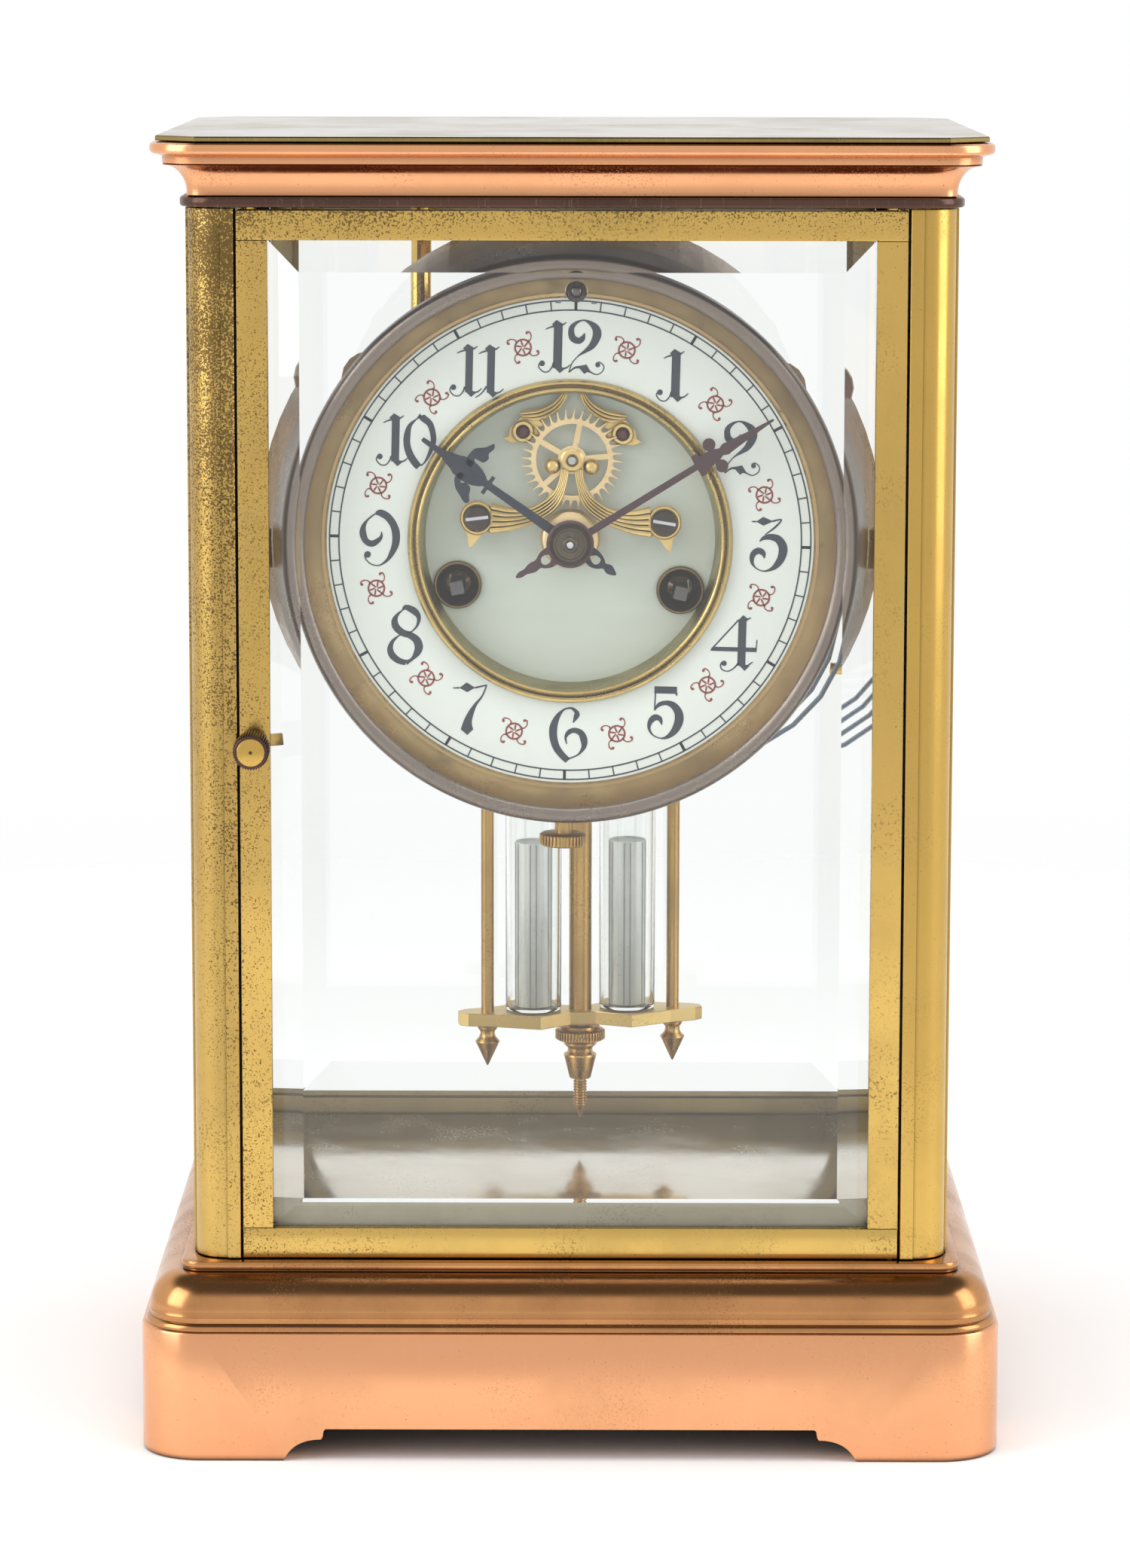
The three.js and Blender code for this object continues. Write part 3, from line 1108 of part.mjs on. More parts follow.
// The centre rod down to its threaded, pointed end, with the bell below the rating nut.
function pendulumRod() {
  const rod = turnedZ([
    [0, ROD_TIP],
    [THREAD_RADIUS, ROD_POINT_START],
    [THREAD_RADIUS, BELL_BOTTOM],
    [BELL_TIP_RADIUS, BELL_BOTTOM],
    [BELL_RADIUS, BELL_TOP],
    [THREAD_RADIUS, BELL_TOP + BELL_TIP_RADIUS / 2],
    [THREAD_RADIUS, NUT_TOP],
    [ROD_RADIUS, NUT_TOP + SEAT_GAP],
    [ROD_RADIUS, ROD_TOP],
    [0, ROD_TOP],
  ], LUG_SIDES);
  return rod.translate(PENDULUM_X, PENDULUM_Y, 0);
}

function ratingNut() {
  const nut = barZ(NUT_RADIUS, [NUT_BOTTOM, NUT_TOP], NUT_KNURLS);
  const bore = barZ(THREAD_RADIUS + RUNNING_GAP, [ROD_TIP, TRAY_TOP], PIN_SIDES);
  return cutBy(nut, bore).translate(PENDULUM_X, PENDULUM_Y, 0);
}

// A carrier plate of the pendulum with holes for the centre rod and the side rods.
function pendulumPlate([z0, z1], halfDepth, extraHoles) {
  const quarter = TRAY_SHARES.map(([xShare, yShare]) =>
    [xShare * TRAY_HALF_WIDTH, yShare * halfDepth]);
  const half = [...quarter, ...quarter.map(([x, y]) => [-x, y]).reverse()];
  const outline = [...half, ...half.map(([x, y]) => [-x, -y])];
  const plate = prismZ(shapeOf(outline), [z0, z1]);
  const holes = [[ROD_RADIUS, 0], ...extraHoles].map(([radius, x]) =>
    barZ(radius + SEAT_GAP, [z0 - OVERRUN, z1 + OVERRUN], LUG_SIDES, [x, 0]));
  return hungOnRod(cutBy(plate, ...holes), 0);
}

// The bob hangs a little turned on its rod: its left side stands nearer the front.
function hungOnRod(shape, x) {
  return shape.translate(x, 0, 0).rotateZ(PENDULUM_TWIST_DEG * DEGREE)
    .translate(PENDULUM_X, PENDULUM_Y, 0);
}

// A side rod through the tray, ending below it in a turned finial.
function sideRod(side) {
  const bottom = FINIAL_TOP - FINIAL_LENGTH;
  const rod = turnedZ([
    [0, bottom],
    [FINIAL_RADIUS, bottom + FINIAL_BELLY_SHARE * FINIAL_LENGTH],
    [SIDE_ROD_RADIUS, bottom + FINIAL_NECK_SHARE * FINIAL_LENGTH],
    [SIDE_ROD_RADIUS, UPPER_PLATE_BOTTOM - SEAT_GAP],
    [0, UPPER_PLATE_BOTTOM - SEAT_GAP],
  ], PIN_SIDES);
  return hungOnRod(rod, side * SIDE_ROD_X);
}

// A glass jar: open above, closed below.
function jar(side) {
  const bottom = TRAY_TOP + SEAT_GAP;
  const top = UPPER_PLATE_BOTTOM - SEAT_GAP;
  const outside = barZ(JAR_RADIUS, [bottom, top], FERRULE_SIDES);
  const inside = barZ(JAR_RADIUS - JAR_WALL, [bottom + JAR_WALL, top + OVERRUN], FERRULE_SIDES);
  return hungOnRod(cutBy(outside, inside), side * JAR_X);
}

function mercuryCylinder(side) {
  const cylinder = barZ(MERCURY_RADIUS, [MERCURY_BOTTOM, MERCURY_BOTTOM + MERCURY_HEIGHT],
    LUG_SIDES);
  return hungOnRod(cylinder, side * JAR_X);
}

// Points of the gong's spiral centre line about its own middle.
function gongLine() {
  const steps = GONG_TURNS * GONG_STEPS_PER_TURN;
  return Array.from({ length: steps + 1 }, (_, i) => {
    const turns = i / GONG_STEPS_PER_TURN;
    const angle = GONG_START_DEG * DEGREE - turns * FULL_TURN;
    return { angle, radius: GONG_RADIUS - GONG_PITCH * turns };
  });
}

// The blued coil gong: one flat strip wound in a spiral, drawn as a six-sided tube.
function coilGong() {
  const line = gongLine();
  const positions = line.flatMap(({ angle, radius }) =>
    Array.from({ length: GONG_SECTION_SIDES }, (_, side) => {
      const turn = (side / GONG_SECTION_SIDES) * FULL_TURN;
      const reach = radius + GONG_STRIP_RADIAL * Math.cos(turn);
      return [reach * Math.cos(angle), GONG_Y + GONG_STRIP_DEPTH * Math.sin(turn),
        reach * Math.sin(angle)];
    }).flat());
  const index = [];
  const sides = GONG_SECTION_SIDES;
  for (let ring = 0; ring + 1 < line.length; ring++) {
    for (let side = 0; side < sides; side++) {
      const a = ring * sides + side;
      const b = ring * sides + ((side + 1) % sides);
      index.push(a, b + sides, b, a, a + sides, b + sides);
    }
  }
  const last = (line.length - 1) * sides;
  for (let side = 1; side + 1 < sides; side++) {
    index.push(0, side, side + 1, last, last + side + 1, last + side);
  }
  const geometry = new THREE.BufferGeometry();
  geometry.setAttribute("position", new THREE.Float32BufferAttribute(positions, 3));
  geometry.setIndex(index);
  return geometry.translate(GONG_X, 0, GONG_Z);
}

// The least distance between the surfaces of neighbouring turns, measured on their points.
function gongLeastGap() {
  const line = gongLine();
  const edge = (point, sign) => {
    const reach = point.radius + sign * GONG_STRIP_RADIAL;
    return [reach * Math.cos(point.angle), reach * Math.sin(point.angle)];
  };
  const gaps = line.slice(GONG_STEPS_PER_TURN).map((inner, i) => {
    const [x0, z0] = edge(inner, 1);
    const [x1, z1] = edge(line[i], -1);
    return Math.hypot(x1 - x0, z1 - z0);
  });
  return Math.min(...gaps);
}

// The gong support: a rod down from the head plate, an elbow, an arm behind the turns and a grip
// that holds the inner end of the coil.
function gongSupport() {
  const { angle, radius } = gongLine().at(-1);
  const back = GONG_ARM_Y + GONG_ARM_THICKNESS;
  const grip = boxBetween([radius - GONG_GRIP_HALF, radius + GONG_GRIP_HALF],
    [GONG_Y - GONG_GRIP_HALF, back], [-GONG_GRIP_LENGTH - SEAT_GAP, -SEAT_GAP]);
  grip.rotateY(-angle);
  grip.translate(GONG_X, 0, GONG_Z);
  const middle = GONG_GRIP_LENGTH / 2 + SEAT_GAP;
  const gripX = GONG_X + radius * Math.cos(angle) + middle * Math.sin(angle);
  const gripZ = GONG_Z + radius * Math.sin(angle) - middle * Math.cos(angle);
  const arm = boxBetween([GONG_ROD_X, gripX], [GONG_ARM_Y, back],
    [gripZ - GONG_ARM_HALF, gripZ + GONG_ARM_HALF]);
  const elbow = boxBetween([GONG_ROD_X - GONG_ELBOW_HALF, GONG_ROD_X + GONG_ELBOW_HALF],
    [GONG_Y - GONG_ELBOW_HALF, back], [gripZ - GONG_ELBOW_HALF, gripZ + GONG_ELBOW_HALF]);
  const rod = barZ(GONG_ROD_RADIUS, [gripZ, CASE_TOP], LUG_SIDES, [GONG_ROD_X, GONG_Y]);
  return joined(grip, arm, elbow, rod);
}

// The hammer: an arbor on the back plate, an arm and a round head just beside the gong.
function hammer() {
  const span = [GONG_Y - HAMMER_ARM, GONG_Y + HAMMER_ARM];
  const start = BACK_PLATE_Y + PLATE_THICKNESS + SEAT_GAP;
  const arbor = barY(HAMMER_ARM, [start, span[1]], PIN_SIDES, [HAMMER_X, HAMMER_Z]);
  const dx = HAMMER_HEAD_X - HAMMER_X;
  const dz = HAMMER_HEAD_Z - HAMMER_Z;
  const arm = boxBetween([0, Math.hypot(dx, dz)], span, [-HAMMER_ARM / 2, HAMMER_ARM / 2]);
  arm.rotateY(-Math.atan2(dz, dx));
  arm.translate(HAMMER_X, 0, HAMMER_Z);
  const head = barY(HAMMER_HEAD_RADIUS, [GONG_Y - HAMMER_HEAD_HALF, GONG_Y + HAMMER_HEAD_HALF],
    LUG_SIDES, [HAMMER_HEAD_X, HAMMER_HEAD_Z]);
  return joined(arbor, arm, head);
}

const COPPER = { color: 0xe2a878, roughness: 0.28, metalness: 1 };
const BRASS = { color: 0xc3a153, roughness: 0.3, metalness: 1 };
const DARK = { color: 0x4a3228, roughness: 0.35, metalness: 0.8 };
const BRUSHED = { color: 0xb9b4a8, roughness: 0.45, metalness: 1 };
const BRONZE = { color: 0xb38a63, roughness: 0.35, metalness: 1 };
const GILT = { color: 0xc9a24a, roughness: 0.45, metalness: 1 };
const STEEL = { color: 0x9a9da1, roughness: 0.3, metalness: 1 };
const BLUED = { color: 0x2b3345, roughness: 0.3, metalness: 0.9 };
const PORCELAIN = { color: 0xe3ebe2, roughness: 0.15, metalness: 0 };
const GLASS = { color: 0xf4f8f6, roughness: 0.02, metalness: 0, transparent: true, opacity: 0.2 };

const group = new THREE.Group();
group.add(named("plinth", plinth(), COPPER));
group.add(named("floor_plate", floorPlate(), BRASS));
for (const [sx, sy] of [[-1, -1], [1, -1], [-1, 1], [1, 1]]) {
  const name = `post_${sy < 0 ? "front" : "back"}_${sx < 0 ? "left" : "right"}`;
  group.add(named(name, cornerPost(sx, sy), BRASS));
}
group.add(named("head_plate", headPlate(), DARK));
group.add(named("cornice", cornice(), COPPER));
group.add(named("lid_plate", lidPlate(), BRUSHED));

// A door with its pins, glass and latch; the back one is the front one turned half round.
function door(prefix, bottomRail) {
  const set = new THREE.Group();
  set.add(named(`${prefix}_door_frame`, doorFrame(bottomRail), BRASS));
  set.add(named(`${prefix}_door_glass`, panelGlass(DOOR_WIDTH, bottomRail), GLASS));
  const latch = named(`${prefix}_latch`, latchKnob(), BRASS);
  latch.position.set(LATCH_INSET - DOOR_WIDTH / 2, 0, LATCH_HEIGHT);
  set.add(latch);
  set.position.y = -CASE_DEPTH / 2;
  const turned = new THREE.Group();
  turned.add(set);
  return turned;
}
group.add(door("front", BOTTOM_RAIL_HEIGHT));
const backDoor = door("back", BACK_RAIL_HEIGHT);
backDoor.rotation.z = Math.PI;
group.add(backDoor);

for (const [side, word] of [[-1, "left"], [1, "right"]]) {
  const panel = new THREE.Group();
  panel.add(named(`${word}_side_frame`, panelFrame(SIDE_WIDTH, BOTTOM_RAIL_HEIGHT), BRASS));
  panel.add(named(`${word}_side_glass`, panelGlass(SIDE_WIDTH, BOTTOM_RAIL_HEIGHT), GLASS));
  panel.position.x = side * CASE_WIDTH / 2;
  panel.rotation.z = side * QUARTER_TURN;
  group.add(panel);
  group.add(named(`${word}_bracket`, sideBracket(side), BRASS));
}

const dial = new THREE.Group();
dial.position.set(DIAL_X, 0, DIAL_Z);
dial.rotation.y = DIAL_TILT_DEG * DEGREE;
dial.add(named("bezel", bezel(), BRONZE));
dial.add(named("bezel_thumbscrew", bezelThumbscrew(), BRASS));
dial.add(named("movement_drum", movementDrum(), BRASS));
dial.add(named("chapter_ring", chapterRing(), PORCELAIN));
dial.add(named("gilt_ring", giltRing(), GILT));
dial.add(named("centre_disc", centreDisc(), PORCELAIN));
for (const [side, word] of [[1, "time"], [-1, "strike"]]) {
  dial.add(named(`${word}_barrel`, barrel(side), BRASS));
  dial.add(named(`${word}_winding_arbor`, windingArbor(side), STEEL));
}
dial.add(named("regulator_arbor", regulatorArbor(), STEEL));
dial.add(named("front_movement_plate", movementPlate(FRONT_PLATE_Y), BRASS));
dial.add(named("back_movement_plate", backPlate(), BRASS));
dial.add(named("centre_wheel", centreWheel(), BRASS));
dial.add(named("third_wheel", thirdWheel(), BRASS));
dial.add(named("escape_wheel", escapeWheel(), GILT));
dial.add(named("escape_bridge", escapeBridge(), GILT));
dial.add(named("pallet_anchor", palletAnchor(), GILT));
dial.add(named("cannon_pinion", cannonPinion(), STEEL));
dial.add(named("minute_wheel", minuteWheel(), BRASS));
dial.add(named("hour_wheel", hourWheel(), BRASS));
dial.add(named("hour_hand", hourHand(), BLUED));
dial.add(named("minute_hand", minuteHand(), BLUED));
group.add(dial);

dial.updateMatrix();
const palletPlace = new THREE.Vector3(0, 0, PALLET_ARBOR_RISE).applyMatrix4(dial.matrix);
group.add(named("crutch", crutch(palletPlace.x, palletPlace.z), STEEL));
group.add(named("suspension_cock", suspensionCock(), BRASS));
group.add(named("suspension_spring", suspensionSpring(), STEEL));
group.add(named("pendulum_rod", pendulumRod(), BRASS));
group.add(named("rating_nut", ratingNut(), BRASS));
group.add(named("pendulum_tray",
  pendulumPlate([TRAY_BOTTOM, TRAY_TOP], TRAY_HALF_DEPTH,
    [-1, 1].map((side) => [SIDE_ROD_RADIUS, side * SIDE_ROD_X])), BRASS));
group.add(named("pendulum_top_plate",
  pendulumPlate([UPPER_PLATE_BOTTOM, UPPER_PLATE_TOP], UPPER_PLATE_HALF_DEPTH, []), BRASS));
for (const [side, word] of [[-1, "left"], [1, "right"]]) {
  group.add(named(`pendulum_${word}_rod`, sideRod(side), BRASS));
  group.add(named(`pendulum_${word}_jar`, jar(side), GLASS));
  group.add(named(`pendulum_${word}_cylinder`, mercuryCylinder(side), STEEL));
}
group.add(named("coil_gong", coilGong(), BLUED));
group.add(named("gong_support", gongSupport(), BRASS));
group.add(named("strike_hammer", hammer(), STEEL));
console.log(`least gap between the gong's turns: ${gongLeastGap().toFixed(2)} mm`);

export default group;
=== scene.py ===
# Crystal regulator clock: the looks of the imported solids, in one studio shot.
import json
import math

import bmesh
import bpy
from mathutils import Matrix, Vector

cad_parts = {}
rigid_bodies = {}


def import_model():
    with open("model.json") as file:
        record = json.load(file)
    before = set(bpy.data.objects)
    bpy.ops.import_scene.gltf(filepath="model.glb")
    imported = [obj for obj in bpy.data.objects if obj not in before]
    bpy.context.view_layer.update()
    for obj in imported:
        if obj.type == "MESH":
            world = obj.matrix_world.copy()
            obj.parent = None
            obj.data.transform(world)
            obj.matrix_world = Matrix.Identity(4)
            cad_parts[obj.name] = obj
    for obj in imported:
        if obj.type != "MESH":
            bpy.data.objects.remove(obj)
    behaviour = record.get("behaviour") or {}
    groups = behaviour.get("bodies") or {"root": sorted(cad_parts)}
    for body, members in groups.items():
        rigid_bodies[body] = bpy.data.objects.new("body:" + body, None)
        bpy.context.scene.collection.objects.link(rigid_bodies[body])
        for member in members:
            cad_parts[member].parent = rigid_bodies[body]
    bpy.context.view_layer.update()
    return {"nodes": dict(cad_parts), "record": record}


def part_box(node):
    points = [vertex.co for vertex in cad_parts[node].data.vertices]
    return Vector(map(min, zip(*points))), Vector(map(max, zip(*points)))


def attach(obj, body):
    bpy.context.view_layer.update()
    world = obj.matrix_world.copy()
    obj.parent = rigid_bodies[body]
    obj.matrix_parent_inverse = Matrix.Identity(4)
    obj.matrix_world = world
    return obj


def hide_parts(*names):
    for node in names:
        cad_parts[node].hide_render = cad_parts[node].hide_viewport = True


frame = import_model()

MM = 0.001
NODES = frame["nodes"]
BODY_OF = {member: body for body, members in frame["record"]["behaviour"]["bodies"].items()
           for member in members}


def span(node):
    """Lowest and highest corner of a CAD node, in millimetres."""
    low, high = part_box(node)
    return low / MM, high / MM


# The camera that the photograph was fitted with
CAMERA_PLACE = (1.064, -1121.464, 301.593)
CAMERA_PITCH_DEG = 8.8007
CAMERA_YAW_DEG = 0.12422
CAMERA_ROLL_DEG = 0.09569
FOCAL_PX = 7076.594
FRAME_WIDTH_PX = 1500
SENSOR_MM = 36

# The dial group's place and its small turn
DIAL_X = -0.3
DIAL_Z = 185
DIAL_TILT_DEG = 1.3
DIAL = (Matrix.Translation((DIAL_X, 0, DIAL_Z))
        @ Matrix.Rotation(math.radians(DIAL_TILT_DEG), 4, "Y"))
LEVEL = Matrix.Identity(4)

SMOOTH_ANGLE_DEG = 32


# Shader helpers

def node(tree, kind, links=None, **values):
    """A node with inputs set by name and links made from other nodes' outputs."""
    made = tree.nodes.new(kind)
    for key, value in values.items():
        if hasattr(made, key):
            setattr(made, key, value)
        else:
            made.inputs[key.replace("_", " ")].default_value = value
    for key, source in (links or {}).items():
        tree.links.new(source, made.inputs[key])
    return made


def ramp(tree, factor, stops):
    """A colour ramp between grey or coloured stops given as (position, colour)."""
    made = tree.nodes.new("ShaderNodeValToRGB")
    elements = made.color_ramp.elements
    while len(elements) < len(stops):
        elements.new(0.5)
    for element, (place, colour) in zip(elements, stops):
        element.position = place
        element.color = colour if len(colour) == 4 else (*colour, 1)
    tree.links.new(factor, made.inputs["Fac"])
    return made.outputs["Color"]


def grey(value):
    """An opaque grey."""
    return (value, value, value, 1)


def mix(tree, factor, a, b, blend="MIX"):
    """Mixes two colours; each may be a socket or a colour."""
    made = tree.nodes.new("ShaderNodeMix")
    made.data_type = "RGBA"
    made.blend_type = blend
    sockets = {"factor": made.inputs[0], "a": made.inputs[6], "b": made.inputs[7]}
    for key, value in (("factor", factor), ("a", a), ("b", b)):
        if isinstance(value, bpy.types.NodeSocket):
            tree.links.new(value, sockets[key])
        else:
            sockets[key].default_value = value
    return made.outputs[2]


def math_node(tree, operation, a, b=0.0):
    """The result of a calculation on numbers or sockets."""
    made = tree.nodes.new("ShaderNodeMath")
    made.operation = operation
    for socket, value in zip(made.inputs, (a, b)):
        if isinstance(value, bpy.types.NodeSocket):
            tree.links.new(value, socket)
        else:
            socket.default_value = value
    return made.outputs[0]


def new_group(name, inputs, outputs, kind="ShaderNodeTree"):
    """A node group with its sockets: (name, type, default or None) for inputs."""
    tree = bpy.data.node_groups.new(name, kind)
    for label, socket_type, default in inputs:
        socket = tree.interface.new_socket(label, in_out="INPUT", socket_type=socket_type)
        if default is not None:
            socket.default_value = default
    for label, socket_type in outputs:
        tree.interface.new_socket(label, in_out="OUTPUT", socket_type=socket_type)
    return tree, tree.nodes.new("NodeGroupInput").outputs, tree.nodes.new("NodeGroupOutput").inputs


FLOAT, COLOUR, VECTOR = "NodeSocketFloat", "NodeSocketColor", "NodeSocketVector"


def object_place(tree):
    """The place on the object, in metres."""
    return node(tree, "ShaderNodeTexCoord").outputs["Object"]


def noise(tree, place, scale, detail=2.0):
    """The value of a noise texture at a place."""
    return node(tree, "ShaderNodeTexNoise", {"Vector": place}, Scale=scale,
                Detail=detail).outputs["Fac"]


def make_patina():
    """Old lacquered metal: cloudy stain, dark specks, fine scratches and a soft bump."""
    tree, given, result = new_group("Patina", [
        ("Base", COLOUR, (0.6, 0.45, 0.2, 1)),
        ("Stain", COLOUR, (0.2, 0.13, 0.05, 1)),
        ("Cloud Scale", FLOAT, 40.0),
        ("Cloud Amount", FLOAT, 0.35),
        ("Speck Amount", FLOAT, 0.3),
        ("Roughness", FLOAT, 0.3),
        ("Scratch", FLOAT, 0.3),
        ("Bump", FLOAT, 0.1),
        ("Darkening And Shade", FLOAT, 0.0),
    ], [("Color", COLOUR), ("Roughness", FLOAT), ("Normal", VECTOR)])
    place = object_place(tree)
    clouds = node(tree, "ShaderNodeTexNoise", {"Vector": place, "Scale": given["Cloud Scale"]},
                  Detail=6.0, Roughness=0.62)
    cloud = ramp(tree, clouds.outputs["Fac"], [(0.42, grey(0)), (0.68, grey(1))])
    patch = ramp(tree, noise(tree, place, 55.0, 4.0), [(0.5, grey(0)), (0.66, grey(1))])
    speck = ramp(tree, noise(tree, place, 2100.0, 3.0), [(0.57, grey(0)), (0.64, grey(1))])
    speck = math_node(tree, "MULTIPLY", speck, patch)
    stretched = node(tree, "ShaderNodeMapping", {"Vector": place}, Scale=(1.0, 1.0, 0.06),
                     Rotation=(0.0, 0.12, 0.0)).outputs["Vector"]
    line = ramp(tree, noise(tree, stretched, 2200.0), [(0.62, grey(0)), (0.7, grey(1))])
    scratch = math_node(tree, "MULTIPLY", line, given["Scratch"])
    stained = mix(tree, math_node(tree, "MULTIPLY", cloud, given["Cloud Amount"]),
                  given["Base"], given["Stain"])
    specked = mix(tree, math_node(tree, "MULTIPLY", speck, given["Speck Amount"]),
                  stained, given["Stain"])
    worn = mix(tree, math_node(tree, "MULTIPLY", scratch, 0.25), specked, (0.9, 0.85, 0.75, 1))
    # Dark specks that thicken as the darkening input rises: on the door's top rail this is painted
    # shade under the cornice; elsewhere it only darkens towards given sides.
    drift = ramp(tree, noise(tree, place, 70.0, 5.0), [(0.3, grey(0.6)), (0.65, grey(1))])
    cover = math_node(tree, "MULTIPLY", drift, given["Darkening And Shade"])
    level = math_node(tree, "ADD", noise(tree, place, 2600.0, 3.0),
                      math_node(tree, "MULTIPLY", cover, 0.36))
    darkening_and_shade = ramp(tree, level, [(0.69, grey(0)), (0.76, grey(1))])
    worn = mix(tree, math_node(tree, "MULTIPLY", darkening_and_shade, 0.8), worn, (0.075, 0.045, 0.022, 1))
    rough = given["Roughness"]
    for source, share in ((cloud, 0.14), (speck, 0.3), (scratch, 0.15), (darkening_and_shade, 0.25)):
        rough = math_node(tree, "ADD", rough, math_node(tree, "MULTIPLY", source, share))
    height = math_node(tree, "ADD", clouds.outputs["Fac"], math_node(tree, "MULTIPLY", scratch, -0.5))
    bump = node(tree, "ShaderNodeBump", {"Height": height, "Strength": given["Bump"]},
                Distance=0.4 * MM)
    tree.links.new(worn, result["Color"])
    tree.links.new(rough, result["Roughness"])
    tree.links.new(bump.outputs["Normal"], result["Normal"])
    return tree


PATINA = make_patina()


def new_material(name):
    """A material with its node tree and its main shader."""
    made = bpy.data.materials.new(name)
    made.use_nodes = True
    tree = made.node_tree
    return made, tree, tree.nodes["Principled BSDF"]


def metal(name, base, stain, rough=0.25, cloud=0.3, speck=0.3, scratch=0.3, bump=0.08,
          cloud_scale=40.0, metallic=1.0, darkening_and_shade=(), corner_shade_reach=0):
    """A metal with the shared patina group. The darkening table holds (axis, start place, end place,
    amount), once for each way in which dark specks thicken towards the end place; on the door's top
    rail that darkening is painted shade under the cornice. The corner reach, in mm, is how near a
    wall
    darkens a corner: painted shade in corners and grooves."""
    made, tree, shader = new_material(name)
    patina = tree.nodes.new("ShaderNodeGroup")
    patina.node_tree = PATINA
    settings = {"Base": (*base, 1), "Stain": (*stain, 1), "Cloud Scale": cloud_scale,
                "Cloud Amount": cloud, "Speck Amount": speck, "Roughness": rough,
                "Scratch": scratch, "Bump": bump}
    for key, value in settings.items():
        patina.inputs[key].default_value = value
    colour = patina.outputs["Color"]
    # Painted shade: an ambient-occlusion mask darkens the colour near other surfaces, in corners and
    # grooves.
    if corner_shade_reach:
        reach = node(tree, "ShaderNodeAmbientOcclusion", samples=8, Distance=corner_shade_reach * MM)
        open_share = ramp(tree, reach.outputs["AO"], [(0.45, grey(0.25)), (0.95, grey(1))])
        colour = mix(tree, 1.0, colour, open_share, "MULTIPLY")
    tree.links.new(colour, shader.inputs["Base Color"])
    tree.links.new(patina.outputs["Roughness"], shader.inputs["Roughness"])
    tree.links.new(patina.outputs["Normal"], shader.inputs["Normal"])
    place = object_place(tree)
    # Ramps along the object's axes feed the darkening; the door's top-rail ramp is painted shade.
    darkening_total = 0.0
    for axis, fade_start, fade_end, amount in darkening_and_shade:
        along = node(tree, "ShaderNodeSeparateXYZ", {"Vector": place}).outputs[axis]
        fade = node(tree, "ShaderNodeMapRange", {"Value": along}, From_Min=fade_start * MM,
                    From_Max=fade_end * MM, To_Max=amount)
        darkening_total = math_node(tree, "ADD", fade.outputs["Result"], darkening_total)
    if darkening_and_shade:
        tree.links.new(darkening_total, patina.inputs["Darkening And Shade"])
    shader.inputs["Metallic"].default_value = metallic
    return made


def enamel(name, base, tint, rough=0.12):
    """A glazed or painted surface with a faint uneven tint."""
    made, tree, shader = new_material(name)
    place = object_place(tree)
    tree.links.new(mix(tree, noise(tree, place, 60.0, 5.0), (*base, 1), (*tint, 1)),
                   shader.inputs["Base Color"])
    tree.links.new(ramp(tree, noise(tree, place, 300.0),
                        [(0.3, grey(rough)), (0.7, grey(rough * 1.5))]),
                   shader.inputs["Roughness"])
    return made


def glass_material(name, tint):
    """Clear glass that lets light and shadow rays through."""
    made, tree, shader = new_material(name)
    place = object_place(tree)
    tree.links.new(mix(tree, noise(tree, place, 25.0, 3.0), (*tint, 1),
                       (0.985, 0.99, 0.987, 1)), shader.inputs["Base Color"])
    shader.inputs["Transmission Weight"].default_value = 1.0
    shader.inputs["Roughness"].default_value = 0.0
    shader.inputs["IOR"].default_value = 1.5
    clear = node(tree, "ShaderNodeBsdfTransparent")
    path = node(tree, "ShaderNodeLightPath")
    choose = node(tree, "ShaderNodeMixShader", {
        0: path.outputs["Is Shadow Ray"], 1: shader.outputs[0], 2: clear.outputs[0]})
    tree.links.new(choose.outputs[0], tree.nodes["Material Output"].inputs["Surface"])
    return made


COPPER = metal("copper_plate", (0.86, 0.41, 0.205), (0.40, 0.22, 0.10), rough=0.15, cloud=0.2,
               speck=0.3, scratch=0.06, bump=0.02, cloud_scale=22.0, corner_shade_reach=1.5)
BEAD_BRASS = metal("greyed_bead", (0.38, 0.35, 0.27), (0.25, 0.22, 0.17), rough=0.4, cloud=0.3,
                   speck=0.3, scratch=0.05, bump=0.02)
# A darker copy of the copper for the plinth's upper mouldings: painted shade.
SHADED_COPPER = metal("shaded_copper", (0.60, 0.29, 0.115), (0.22, 0.10, 0.04), rough=0.17,
                     cloud=0.45, speck=0.5, scratch=0.06, bump=0.02, cloud_scale=30.0, corner_shade_reach=1.5)
BRASS = metal("lacquered_brass", (0.64, 0.41, 0.105), (0.26, 0.16, 0.05), rough=0.17, cloud=0.22,
              speck=0.6, scratch=0.1, bump=0.03, cloud_scale=34.0, corner_shade_reach=0.8)
# The front-left post darkens towards its top and towards the door side.
SPECKLED_BRASS = metal("speckled_brass", (0.62, 0.41, 0.12), (0.20, 0.13, 0.05), rough=0.22,
                       cloud=0.25, speck=0.8, scratch=0.1, bump=0.03,
                       darkening_and_shade=(("Z", 60, 250, 0.75), ("X", -76.6, -72, 0.25)), corner_shade_reach=0.8)
